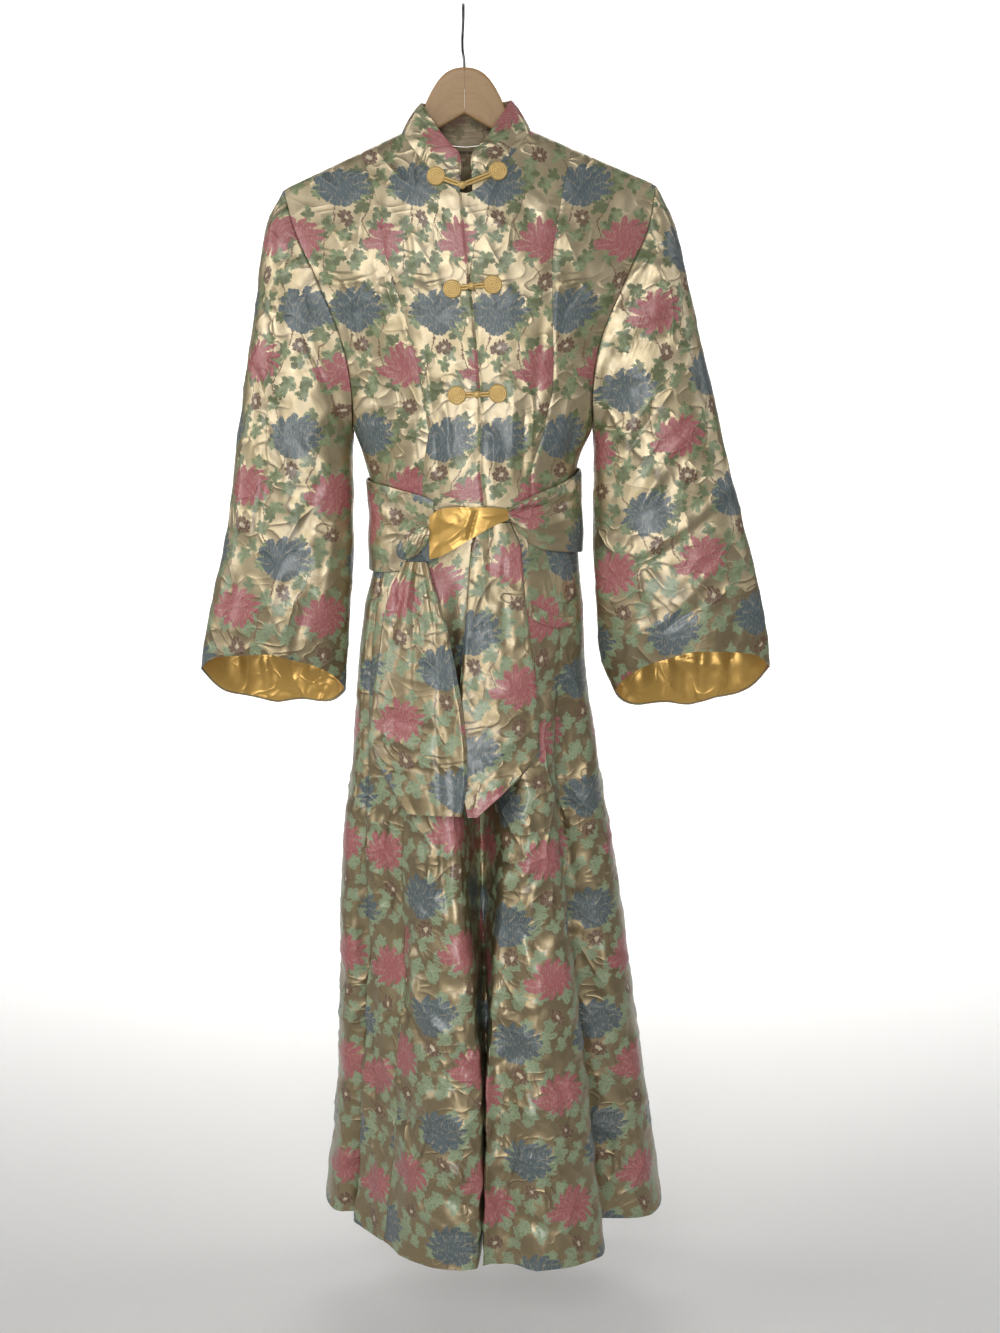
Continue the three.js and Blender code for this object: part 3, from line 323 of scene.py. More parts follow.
FRONT_CREASES = (
    # bust and bodice, left of the opening
    (-72, -258, -62, -312, -3.0, 6, 0), (-60, -262, -50, -330, 1.8, 7, 2),
    (-94, -312, -80, -360, -2.4, 5, 2), (-108, -300, -92, -372, 2.2, 8, -2),
    (-135, -350, -104, -470, -6.0, 9, 4), (-118, -420, -92, -520, 3.0, 8, 3),
    (-104, -470, -78, -565, -5.0, 8, 2), (-46, -400, -36, -500, -2.0, 5, 0),
    (-22, -420, -16, -580, 1.8, 8, 1), (-60, -480, -52, -575, 2.6, 7, 0),
    (-34, -500, -30, -585, -2.2, 5, 0), (-150, -250, -118, -300, 1.6, 8, 3),
    (-40, -235, -14, -262, 1.4, 7, 2), (-90, -215, -60, -232, 1.2, 7, -2),
    (-16, -350, -36, -372, -1.2, 5, 0), (-14, -300, -44, -318, 1.2, 6, 2),
    # bodice, right of the opening
    (66, -232, 92, -248, -1.6, 5, 1), (70, -216, 104, -238, 1.4, 5, -2),
    (108, -262, 102, -352, -2.6, 6, 2), (118, -300, 108, -420, 1.8, 9, 2),
    (96, -360, 84, -500, -2.2, 6, 1), (60, -430, 58, -560, 1.8, 8, 0),
    (74, -470, 70, -580, -2.4, 6, 0), (128, -430, 108, -545, 3.0, 9, -3),
    (142, -470, 124, -550, -3.6, 7, 0), (36, -500, 34, -588, 1.6, 6, 0),
    (140, -330, 116, -366, -1.8, 6, 1), (152, -352, 122, -392, 1.6, 7, 0),
    (26, -240, 60, -262, 1.2, 6, 2), (28, -385, 62, -402, 1.2, 6, -2),
    # under the belt, middle and right
    (8, -664, 66, -676, 1.4, 6, 2), (4, -700, 60, -690, 1.6, 7, 3),
    (22, -740, 70, -722, -1.6, 6, 2), (40, -770, 78, -742, 2.0, 7, 2),
    (76, -640, 82, -720, 2.4, 8, 2), (96, -650, 104, -712, -2.6, 7, 0),
    (112, -655, 118, -735, 2.0, 7, 0), (126, -650, 132, -760, -2.0, 7, 0),
    (60, -800, 112, -770, 2.2, 9, 4), (84, -830, 128, -790, -2.0, 8, 2),
    # skirt, right front
    (30, -900, 66, -860, 2.0, 9, 3), (96, -880, 106, -1010, 2.2, 10, 2),
    (40, -960, 88, -990, 1.8, 9, -3), (118, -960, 140, -1080, -2.4, 9, 2),
    (36, -1060, 92, -1030, 2.2, 10, 3), (60, -1100, 104, -1150, -2.0, 9, 0),
    (44, -1180, 92, -1210, 2.4, 10, 4), (110, -1120, 132, -1240, 2.2, 10, -3),
    (30, -1290, 84, -1262, -2.2, 9, 2), (64, -1330, 118, -1370, 2.4, 10, 2),
    (120, -1300, 140, -1420, -2.2, 9, 0), (34, -1420, 86, -1400, 2.2, 10, 2),
    (50, -1470, 110, -1500, -2.0, 9, 0), (150, -900, 160, -1010, 2.0, 9, 0),
    (168, -1000, 186, -1130, -2.2, 9, 3), (176, -1160, 200, -1280, 2.4, 10, 2),
    (200, -1290, 226, -1420, -2.4, 10, 0), (212, -1380, 240, -1500, 2.2, 9, 0),
    # skirt, left front
    (-44, -985, -44, -1090, 3.0, 5, -2), (-44, -1090, -62, -1120, 2.4, 5, 0),
    (-82, -1115, -80, -1250, -3.0, 6, 2), (-66, -1120, -60, -1240, 2.2, 7, 0),
    (-30, -1000, -18, -1100, -2.0, 7, 2), (-64, -1180, -20, -1250, 4.0, 9, 6),
    (-84, -1220, -46, -1262, -3.0, 8, 3), (-70, -1290, -24, -1250, 3.4, 8, 4),
    (-30, -1300, 6, -1262, -2.8, 8, 2), (-110, -1300, -72, -1340, 2.6, 9, 3),
    (-60, -1340, -14, -1320, 3.2, 9, -4), (-96, -1380, -44, -1350, -2.8, 8, 3),
    (-40, -1400, 2, -1430, 3.0, 9, 2), (-90, -1440, -50, -1410, 2.4, 8, 2),
    (-64, -1470, -18, -1500, 3.2, 9, 4), (-30, -1450, 8, -1470, -2.6, 7, 0),
    (-110, -1180, -104, -1300, 2.2, 8, 0), (-132, -1100, -124, -1240, -2.4, 8, 0),
    (-120, -960, -112, -1080, 2.4, 8, 2), (-136, -1280, -126, -1430, 2.2, 9, 2),
    (-90, -960, -84, -1060, 2.0, 8, 0),
)
BACK_CREASES = (
    (-90, -250, -70, -330, 1.8, 9, 3), (84, -240, 66, -330, -1.8, 9, 3),
    (-30, -260, 20, -282, 1.4, 9, 3), (-60, -380, -44, -520, 2.6, 9, 2),
    (-84, -420, -70, -560, -3.0, 9, 2), (70, -400, 58, -540, 2.8, 9, -2),
    (100, -430, 84, -560, -3.2, 9, 0), (-20, -440, -14, -575, -2.4, 8, 0),
    (24, -460, 22, -580, 2.4, 8, 0), (120, -360, 104, -470, 2.4, 9, 0),
    (-120, -350, -100, -470, 2.4, 9, 2), (-40, -690, -52, -800, 2.6, 9, 0),
    (30, -680, 42, -790, -2.6, 9, 0), (80, -700, 96, -820, 2.6, 9, 2),
    (-90, -700, -104, -830, -2.6, 9, 0), (0, -720, 4, -860, 2.2, 9, 0),
    (-60, -900, -10, -870, 1.8, 9, 3), (40, -930, 90, -960, 2.2, 10, 3),
    (-100, -960, -60, -1000, -2.2, 9, 2), (-30, -1040, 30, -1010, 2.2, 10, 4),
    (70, -1080, 130, -1110, -2.2, 10, 3), (-120, -1120, -70, -1080, 2.4, 10, 3),
    (-20, -1180, 40, -1210, 2.4, 10, -4), (90, -1230, 150, -1200, 2.4, 10, 3),
    (-110, -1280, -50, -1250, -2.4, 10, 4), (10, -1330, 70, -1300, 2.4, 10, 3),
    (-70, -1400, -10, -1440, 2.6, 10, 3), (110, -1380, 170, -1420, -2.4, 10, 3),
    (-150, -1440, -90, -1400, 2.4, 10, 2), (30, -1480, 90, -1460, -2.2, 9, 2),
)
SLEEVE_CREASES = {
    ("left", -1): (
        (-256, -420, -240, -466, -5.0, 9, 3), (-240, -460, -242, -545, -6.0, 9, 2),
        (-242, -540, -262, -655, -5.0, 9, 2), (-222, -470, -220, -600, 3.6, 12, 0),
        (-268, -470, -284, -640, 3.0, 11, 0), (-196, -300, -240, -340, 2.6, 8, 4),
        (-190, -340, -236, -372, -2.8, 8, 4), (-176, -380, -226, -404, 2.6, 8, 4),
        (-170, -420, -212, -436, -2.6, 8, 3), (-160, -470, -196, -520, 2.4, 9, 2),
        (-176, -560, -204, -640, -2.6, 9, 0), (-158, -600, -176, -720, 2.4, 9, 0),
        (-226, -650, -250, -760, 2.6, 10, 0), (-280, -680, -300, -770, -2.4, 9, 2),
        (-190, -690, -214, -780, -2.4, 9, 0), (-234, -260, -256, -330, 2.0, 8, 0)),
    ("right", -1): (
        (170, -330, 226, -292, 4.0, 7, 5), (176, -352, 244, -318, -4.2, 7, 6),
        (172, -378, 250, -348, 4.2, 8, 6), (180, -404, 256, -384, -3.6, 8, 5),
        (182, -436, 240, -420, 3.0, 8, 4), (220, -262, 246, -292, -2.0, 7, 2),
        (332, -560, 284, -606, 4.4, 7, -4), (284, -606, 190, -660, 5.0, 8, -6),
        (322, -592, 262, -640, -4.2, 8, 0), (262, -640, 196, -690, -3.6, 9, 0),
        (296, -486, 226, -560, 3.4, 9, 4), (238, -470, 196, -540, -3.0, 9, 2),
        (320, -660, 268, -720, 3.2, 9, 4), (300, -712, 240, -752, -3.0, 9, 2),
        (218, -720, 200, -800, 2.6, 8, 0), (350, -700, 330, -780, -2.4, 9, 0),
        (282, -400, 300, -500, -2.6, 9, 0), (252, -540, 214, -600, 2.8, 8, 2)),
    ("left", 1): (
        (-190, -330, -240, -362, 3.0, 8, 4), (-184, -372, -240, -400, -3.0, 8, 4),
        (-176, -416, -232, -440, 3.0, 8, 4), (-170, -470, -220, -500, -2.4, 9, 3),
        (-220, -540, -240, -660, 2.8, 10, 2), (-180, -600, -196, -720, -2.6, 10, 0),
        (-260, -650, -284, -770, -2.6, 10, 2), (-210, -700, -226, -800, 2.6, 9, 0)),
    ("right", 1): (
        (190, -330, 246, -366, 3.0, 8, 4), (186, -370, 250, -402, -3.0, 8, 4),
        (186, -416, 250, -440, 3.0, 8, 4), (186, -470, 246, -500, -2.4, 9, 3),
        (230, -540, 250, -660, 2.8, 10, 2), (200, -600, 210, -720, -2.6, 10, 0),
        (300, -650, 324, -770, -2.6, 10, 2), (230, -700, 246, -800, 2.6, 9, 0)),
}
LINING_CREASES = (
    (-300, -700, -290, -830, 2.6, 8, 2), (-262, -690, -256, -840, -3.0, 8, 2),
    (-226, -700, -222, -840, 3.0, 9, -2), (-190, -720, -184, -840, -2.6, 8, 0),
    (230, -700, 226, -840, 2.8, 8, 2), (262, -690, 262, -850, -3.0, 9, 2),
    (300, -700, 304, -850, 3.0, 9, -2), (336, -720, 344, -840, -2.6, 8, 0),
    (250, -790, 330, -806, 2.2, 7, 4), (-290, -780, -200, -800, 2.2, 7, 4),
)
BELT_CREASES = (
    (58, -601, 133, -586, -3.2, 3, -3), (64, -590, 136, -572, 3.6, 9, -3),
    (60, -618, 128, -606, 2.4, 9, 2), (62, -606, 100, -648, -1.8, 6, 2),
    (-112, -590, -70, -610, 1.8, 8, 3), (-108, -640, -66, -622, -1.8, 7, 2),
    (-96, -600, -64, -640, 1.8, 7, 0), (-84, -582, -60, -600, -1.6, 6, 0),
)
TAIL_CREASES = {
    "left": ((-60, -664, -72, -780, 2.6, 5, 2), (-52, -668, -46, -800, -2.6, 5, 2),
             (-66, -668, -88, -760, -2.4, 5, -2), (-46, -670, -30, -760, 2.2, 5, 2),
             (-86, -760, -92, -880, 2.0, 7, 3), (-30, -815, -26, -960, -2.6, 4, 2),
             (-96, -868, -40, -884, 2.6, 6, 3), (-90, -846, -30, -860, -2.2, 6, 2),
             (-84, -900, -34, -912, -2.0, 6, 2), (-60, -720, -20, -736, 1.8, 6, 2),
             (-70, -800, -14, -812, 1.8, 6, -3), (-14, -730, -12, -850, 1.6, 6, 0)),
    "right": ((22, -640, 34, -760, 2.0, 7, 2), (48, -650, 52, -780, -1.8, 7, 2),
              (14, -700, 66, -712, 1.6, 7, 3), (18, -760, 72, -742, 2.0, 7, 3),
              (10, -800, 60, -824, -1.8, 7, 2), (24, -850, 76, -838, 1.8, 7, 3),
              (20, -880, 50, -930, 1.8, 6, 2)),
}
TURN_CREASES = (
    (16, -594, 6, -632, -2.4, 2.2, 1), (10, -592, 0, -630, 1.8, 4, 1),
    (-34, -640, 8, -604, 2.4, 5, 3), (-38, -626, -4, -606, -1.8, 4, 2),
    (-34, -600, 4, -614, 1.2, 5, 2), (20, -600, 50, -598, 1.6, 4, 1),
)

# ------------------------------------------------------------------ pattern and cuts

LEAF_ROWS = (4, 6)
LEAF_SHIFTS = ((0.0, 0.0, 0.0), (64.0, 63.0, 0.0))
TAIL_CURL = {"left": 3.0, "right": 1.0}
SLEEVE_GRAIN = {"left": (-0.11, 0.0, -0.994), "right": (0.21, 0.0, -0.978)}
SLEEVE_PATTERN = {"left": (118, 158), "right": (-22, 229)}
TAIL_PATTERN = {"left": (33, -131), "right": (-33, -135)}

# ------------------------------------------------------------------ curves and surfaces


def smooth(t):
    """0 below 0, 1 above 1, and 3 t^2 - 2 t^3 between."""
    t = np.clip(t, 0, 1)
    return t * t * (3 - 2 * t)


def mix(a, b, t):
    """a where t is 0 and b where it is 1."""
    return a + (b - a) * t


def bell(distance, width):
    """exp(-(distance / width)^2), which is 1 in the middle."""
    return np.exp(-(distance / width) ** 2)


def power(base, exponent):
    """|base| ** exponent with the sign of base."""
    return np.sign(base) * np.abs(base) ** exponent


def points(x, y, z):
    """Three arrays of one shape, or numbers, as an array of points."""
    return np.stack(np.broadcast_arrays(x, y, z), -1).astype(float)


def unit(v):
    """Vectors at length 1."""
    return v / np.maximum(np.linalg.norm(v, axis=-1, keepdims=True), 1e-9)


def running(steps):
    """The running sum of each row of steps, from 0."""
    return np.concatenate([np.zeros((len(steps), 1)), np.cumsum(steps, 1)], 1)


def way_along(path):
    """The length of a path of points up to each of them."""
    return np.r_[0, np.cumsum(np.linalg.norm(np.diff(path, axis=0), axis=-1))]


def spaced(count, *thick):
    """Numbers from 0 to 1, closer together round each (place, width, weight): evenly
    spaced values of the running sum of 1 + sum(weight * exp(-((s - place) / width)^2)),
    read backwards."""
    s = np.linspace(0, 1, 2001)
    crowd = np.ones_like(s)
    for place, width, weight in thick:
        crowd += weight * bell(s - place, width)
    total = np.r_[0, np.cumsum((crowd[1:] + crowd[:-1]) / 2)]
    return np.interp(np.linspace(0, total[-1], count), total, s)


def ring_at(z):
    """Middle x, half width, middle depth, and front and back depth of the body at z."""
    left, right, front, back, middle = (
        BODY_RINGS.along("z", name, z) for name in ("left", "right", "front", "back", "middle"))
    return (left + right) / 2, (right - left) / 2, middle, middle - front, back - middle


def panel_angle(name, share, z):
    """The angle a share of the way across a skirt panel, linear between its seams."""
    start, end = (BODY_SEAMS.along("z", seam, z) for seam in PANELS[name][:2])
    return mix(start, end + (360 if name == "front_left" else 0), share)


def fold_depth(angle, z):
    """How far the skirt's folds pull a ring in: the sum of
    depth / (1 + |angle from the fold / width| ** square), opening with the way down."""
    total = 0.0
    for name, at, wide_top, wide_hem, deep, start, square in SKIRT_FOLDS:
        down = np.clip((start - z) / (start - HEM_Z), 0, 1)
        off = (angle - panel_angle(name, at, z) + 180) % 360 - 180
        opening = smooth(down * 2.4) * mix(0.75, 1, down)
        reach = np.abs(off / mix(wide_top, wide_hem, smooth(down * 1.3))) ** square
        total = total + deep * opening / (1 + reach)
    return total


def body_point(angle, z, folded=True):
    """The skirt's surface: a superellipse, x = half * sin^(2/n) and y = depth *
    cos^(2/n), whose points are pulled in towards its middle by the folds."""
    x_mid, half, middle, front, back = ring_at(z)
    s, c = np.sin(np.radians(angle)), np.cos(np.radians(angle))
    x = half * power(s, 2 / SQUARENESS)
    y = -np.where(c > 0, front, back) * power(c, 2 / SQUARENESS)
    scale = 1 - (fold_depth(angle, z) / np.hypot(x, y) if folded else 0)
    return points(x_mid + x * scale, middle + y * scale, z)


def shoulder_z(x):
    """Height of the shoulder line: straight slopes, with a low arch over the neck."""
    out = np.abs(x - NECK_X)
    level = NECK_TOP_Z + SHOULDER_TILT * (x - NECK_X)
    arch = NECK_RISE * (1 - (out / NECK_HALF) ** 2)
    return np.where(out >= NECK_HALF, level - SHOULDER_SLOPE * (out - NECK_HALF), level + arch)


def neck_z(x, side):
    """Height of the neckline: drop * (1 - out^1.5) below the shoulder seams."""
    out = np.clip(np.abs(x - NECK_X) / NECK_HALF, 0, 1)
    drop = NECK_FRONT_DROP if side < 0 else NECK_BACK_DROP
    return NECK_TOP_Z + SHOULDER_TILT * (x - NECK_X) - drop * (1 - out ** NECK_CURVE)


def bodice_depth(x, z, side):
    """y of the bodice: the body's ring, closed in towards the shoulder line, where the
    cloth bends over the hanger in a quarter circle."""
    x_mid, half, middle, front, back = ring_at(z)
    out = np.clip(np.abs(x - x_mid) / half, 0, 1)
    full = np.where(side < 0, front, back) * (1 - out ** SQUARENESS) ** (1 / SQUARENESS)
    below = np.maximum(shoulder_z(x) - z, 0)
    settled = 1 - (1 - np.clip(below / SETTLE, 0, 1)) ** 2.5
    bend = np.minimum(below, SHOULDER_RADIUS)
    arc = np.sqrt(SHOULDER_RADIUS ** 2 - (SHOULDER_RADIUS - bend) ** 2)
    return middle + side * (arc + (full - SHOULDER_RADIUS) * settled)


def creased(x, z, table):
    """Height of the cloth over its smooth form: for each crease
    high * sqrt(4 t (1 - t)) * exp(-|d / (0.8 wide)| ** 1.3), with t the way along its line
    and d the distance from it, which is bowed to one side."""
    height = np.zeros(np.broadcast(x, z).shape)
    for x0, z0, x1, z1, high, wide, bow in table:
        run = math.hypot(x1 - x0, z1 - z0)
        t = ((x - x0) * (x1 - x0) + (z - z0) * (z1 - z0)) / run ** 2
        hump = np.clip(4 * t * (1 - t), 0, 1)
        d = ((x - x0) * (z1 - z0) - (z - z0) * (x1 - x0)) / run - bow * hump
        height += high * np.sqrt(hump) * np.exp(-np.abs(d / wide / 0.8) ** 1.3)
    return height


def crinkle(u, v, size, seed, turn=0.4, stretch=1.0):
    """Small irregular creases of a stiff satin: random heights on a lattice turned by an
    angle, joined by smooth steps and folded at their middle value, so that each line
    where they cross it becomes a crest. From -1 to 1."""
    table = np.random.default_rng(seed).random((61, 67))
    a = (u * math.cos(turn) + v * math.sin(turn)) / size
    b = (v * math.cos(turn) - u * math.sin(turn)) / (size * stretch)
    a = a + 0.35 * np.sin(b * 1.7 + seed)
    b = b + 0.35 * np.sin(a * 1.3 + seed * 2)
    i, j = np.floor(a).astype(int), np.floor(b).astype(int)
    s, t = smooth(a - i), smooth(b - j)
    low = mix(table[i % 61, j % 67], table[(i + 1) % 61, j % 67], s)
    high = mix(table[i % 61, (j + 1) % 67], table[(i + 1) % 61, (j + 1) % 67], s)
    return 1 - 2 * np.abs(2 * mix(low, high, t) - 1) ** 0.8


def crinkled(u, v, seed, stretch=1.0):
    """Three sizes of crinkle, each about half as high as the one before, in
    millimetres."""
    return (1.0 * crinkle(u, v, 46, seed, 0.5, stretch) + 0.55 * crinkle(u, v, 23, seed + 1, -0.6)
            + 0.22 * crinkle(u, v, 11, seed + 2, 1.1))


def grid_normals(grid, ring=False):
    """Unit normals of a grid of points, from the cross product of its two directions.
    A ring's columns go round."""
    if ring:
        across = np.roll(grid, -1, 1) - np.roll(grid, 1, 1)
    else:
        across = np.gradient(grid, axis=1)
    return unit(np.cross(across, np.gradient(grid, axis=0)))


def outward(grid, centre, ring=False):
    """Normals of a grid, turned to point away from a centre (a point, or one a row)."""
    normals = grid_normals(grid, ring)
    away = np.sum(normals * (grid - centre), -1).mean()
    return normals if away > 0 else -normals


def cloth_lengths(grid, start_share, ring=False):
    """Each point's place on the flat cloth: the way across, from the column at
    start_share, and the way down that column. A ring gets one more column, which closes
    it."""
    if ring:
        grid = np.concatenate([grid, grid[:, :1]], 1)
    start = int(round(start_share * (grid.shape[1] - 1)))
    steps = np.linalg.norm(np.diff(grid, axis=1), axis=-1)
    across = running(steps)
    across -= across[:, start:start + 1]
    return np.stack(np.broadcast_arrays(across, -way_along(grid[:, start])[:, None]), -1)


def panel_lengths(name, grid):
    """The flat cloth places of a body panel: across from its line of blue flowers, and
    down from one of them. The left front is bloused over the belt, which takes up some
    of its length."""
    side = PANELS[name][4]
    z = grid[..., 2]
    steps = np.hypot(np.diff(grid[..., 0], axis=1), np.diff(grid[..., 1], axis=1))
    across = running(steps)
    line = PATTERN_LINES[name].along("z", "x", z[:, 0])
    start = np.argmin(np.abs(grid[..., 0] - line[:, None]).mean(axis=0))
    at = grid[:, start]
    across = across - across[:, start:start + 1] - side * (at[:, 0] - line)[:, None]
    way = way_along(at[:, 1:])
    down = np.interp(-z, -at[:, 2], way) - np.interp(-FLOWER_Z, -at[:, 2], way)
    down = down - np.clip(z - at[0, 2], 0, None)
    if name == "front_left":
        down = down + BLOUSED * smooth((UNDERARM_Z - 60 - z) / 60)
    return np.stack([across, -down], -1)


def sleeve_lengths(grid, side):
    """The same for a sleeve, from the outer end of its cuff: the way up is the way along
    the grain, and the way round adds up what each step has square to it, from its
    outer fold, whose own place across the grain is shared out over the cloth near it."""
    grid = np.concatenate([grid, grid[:, :1]], 1)
    fold = grid.shape[1] // 2
    grain = unit(np.array(SLEEVE_GRAIN[side]))
    away = np.array([-grain[2], 0.0, grain[0]])
    if side == "left":
        away = -away
    steps = np.diff(grid, axis=1)
    square = np.sum(steps ** 2, -1) - (steps @ grain) ** 2
    around = running(np.sqrt(np.clip(square, 0, None)))
    around -= around[:, fold:fold + 1]
    inward = (grid[-1, fold] - grid[:, fold]) @ away
    around += np.sign(around) * smooth(np.abs(around) / 40) * inward[:, None]
    if side == "right":
        around = -around
    return np.stack([around, (grid[-1, fold] - grid) @ grain], -1)


# ------------------------------------------------------------------ meshes


def finish_mesh(name, vertices, faces, cloth=None, corner_cloth=None, inner_from=None,
                materials=(), sharp=50):
    """An object from points in millimetres and faces, which are turned to face outwards
    by the sign of the volume that they hold, with its flat cloth places in metres as a
    UV map."""
    vertices = np.asarray(vertices, float).reshape(-1, 3)
    faces = np.asarray(faces)
    a, b, c, d = (vertices[faces[:, k]] for k in range(4))
    volume = np.sum(a * np.cross(b, c)) + np.sum(a * np.cross(c, d))
    if volume < 0:
        faces = faces[:, ::-1]
        corner_cloth = None if corner_cloth is None else corner_cloth[:, ::-1]
    mesh = bpy.data.meshes.new(name)
    mesh.from_pydata(vertices * 0.001, [], faces)
    if cloth is not None:
        layer = mesh.uv_layers.new(name="cloth")
        flat = np.asarray(cloth, float).reshape(-1, 2)[corner_cloth.reshape(-1)] * 0.001
        layer.uv.foreach_set("vector", flat.astype(np.float32).reshape(-1))
    for material in materials:
        mesh.materials.append(material)
    if inner_from is not None:
        inside = np.all(faces >= inner_from, axis=1).astype(np.int32)
        mesh.polygons.foreach_set("material_index", inside * (len(materials) - 1))
    mesh.polygons.foreach_set("use_smooth", np.ones(len(faces), bool))
    mesh.update()
    merged = bmesh.new()
    merged.from_mesh(mesh)
    bmesh.ops.remove_doubles(merged, verts=merged.verts, dist=2e-6)
    merged.to_mesh(mesh)
    merged.free()
    mesh.set_sharp_from_angle(angle=math.radians(sharp))
    piece = bpy.data.objects.new(name, mesh)
    bpy.context.scene.collection.objects.link(piece)
    return piece


def grid_faces(rows, cols, ring):
    """Corners of a grid's faces as vertex numbers, and as numbers of cloth places,
    which have one more column on a ring."""
    last = cols if ring else cols - 1
    i, j = (k.reshape(-1) for k in np.meshgrid(np.arange(rows - 1), np.arange(last),
                                               indexing="ij"))
    onward = (j + 1) % cols
    corners = np.stack([i * cols + j, i * cols + onward, (i + 1) * cols + onward,
                        (i + 1) * cols + j], -1)
    wide = cols + 1 if ring else cols
    places = np.stack([i * wide + j, i * wide + j + 1, (i + 1) * wide + j + 1,
                       (i + 1) * wide + j], -1)
    return corners, places


def shell(name, outer, inner, cloth, materials, ring=False):
    """A closed wall: the outer grid, the inner grid behind it, and a strip along each
    open edge. The first material is the face, and the last is the inner side."""
    rows, cols = outer.shape[:2]
    count = rows * cols
    corners, places = grid_faces(rows, cols, ring)
    wide = cols + 1 if ring else cols
    faces, flats = [corners, corners[:, ::-1] + count], [places, places[:, ::-1]]

    def strip(first, second, place_first, place_second):
        faces.append(np.stack([second, first, first + count, second + count], -1))
        flats.append(np.stack([place_second, place_first, place_first, place_second], -1))

    j = np.arange(cols if ring else cols - 1)
    onward = (j + 1) % cols
    strip(j, onward, j, j + 1)
    strip((rows - 1) * cols + onward, (rows - 1) * cols + j,
          (rows - 1) * wide + j + 1, (rows - 1) * wide + j)
    if not ring:
        i = np.arange(rows - 1)
        strip((i + 1) * cols, i * cols, (i + 1) * cols, i * cols)
        strip(i * cols + cols - 1, (i + 1) * cols + cols - 1, i * cols + cols - 1,
              (i + 1) * cols + cols - 1)
    return finish_mesh(name, np.concatenate([outer.reshape(-1, 3), inner.reshape(-1, 3)]),
                       np.concatenate(faces), cloth, np.concatenate(flats), count, materials)


def closed_grid(name, grid, materials, sharp=60):
    """A solid from a grid whose columns go round and whose first and last rows each
    meet in a point or a flat end, closed by a fan of narrow faces."""
    rows, cols = grid.shape[:2]
    ends = [grid[:1].mean(axis=1, keepdims=True), grid[-1:].mean(axis=1, keepdims=True)]
    full = np.concatenate([np.repeat(ends[0], cols, 1), grid, np.repeat(ends[1], cols, 1)])
    corners, places = grid_faces(rows + 2, cols, True)
    return finish_mesh(name, full, corners, cloth_lengths(full, 0, True), places, None,
                       materials, sharp)


def tube(path, radius, side, count, twist=None):
    """Points of a cord: a circle of the given radius carried along the path, with one
    of its axes kept square to the direction "side". A twist of (strands, height, pitch)
    adds ridges: radius * (1 + height * cos(strands * turn + way / pitch))."""
    path = np.asarray(path, float)
    along = unit(np.gradient(path, axis=0))
    first = unit(np.cross(along, np.broadcast_to(side, path.shape)))
    second = np.cross(along, first)
    turn = np.linspace(0, 2 * np.pi, count, endpoint=False)
    way = way_along(path)
    r = np.broadcast_to(np.reshape(radius, (-1, 1)), (len(path), count)).astype(float)
    if twist:
        strands, height, pitch = twist
        r = r * (1 + height * np.cos(strands * turn[None] + way[:, None] * 2 * np.pi / pitch))
    return (path[:, None] + r[..., None] * (first[:, None] * np.cos(turn)[None, :, None]
                                            + second[:, None] * np.sin(turn)[None, :, None]))


def curve_through(knots, count):
    """Points evenly along a smooth curve through the knots: Catmull-Rom pieces, by
    length between knots."""
    knots = np.asarray(knots, float)
    way = way_along(knots)
    table = Table("way x y z", *np.column_stack([way, knots]))
    at = np.linspace(0, way[-1], count)
    return np.stack([table.along("way", axis, at) for axis in "xyz"], -1)


def place(piece, node_names, slot):
    """Rides the piece on the robe's one body, in place of the CAD nodes."""
    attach(piece, "root")
    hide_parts(*node_names)
    return piece

# ------------------------------------------------------------------ the robe's forms


def relief(grid, tables, middle, seed, stretch=1.0):
    """Creases and crinkles of a grid of points, as seen from the front, the back and the
    sides: each view's share fades out over 30 mm from the middle."""
    x, y, z = grid[..., 0], grid[..., 1], grid[..., 2]
    front, back = smooth((middle - y) / 30), smooth((y - middle) / 30)
    between = (1 - front) * (1 - back)
    settings = bpy.context.scene.robe_cloth
    creases = creased(x, z, tables[0]) * front + creased(x, z, tables[1]) * back
    crinkles = (crinkled(x, z, seed, stretch) * front + crinkled(x, z, seed + 7, stretch) * back
                + crinkled(y, z, seed + 13, stretch) * between)
    return creases * settings.crease_depth + crinkles * settings.crinkle_depth


def body_relief(grid):
    """Relief of the body: stiller on the hanger and under the belt and the closures,
    and more crumpled with the way down the skirt."""
    x, z = grid[..., 0], grid[..., 2]
    middle = BODY_RINGS.along("z", "middle", z)
    height = relief(grid, (FRONT_CREASES, BACK_CREASES), middle, 11)
    height = height * mix(0.8, 2.1, smooth((-700 - z) / 450))
    height = height * smooth((shoulder_z(x) - z) / 45)
    belt = smooth((z + 700) / 25) * smooth((-535 - z) / 20)
    height = mix(height, np.clip(height, -9, 9) * 0.3, belt)
    for spots in FROGS.values():
        for spot_x, spot_z in spots:
            near = bell((x - spot_x) ** 2 + (z - spot_z) ** 2, FROG_STILL ** 2)
            height = height * (1 - near)
    return height


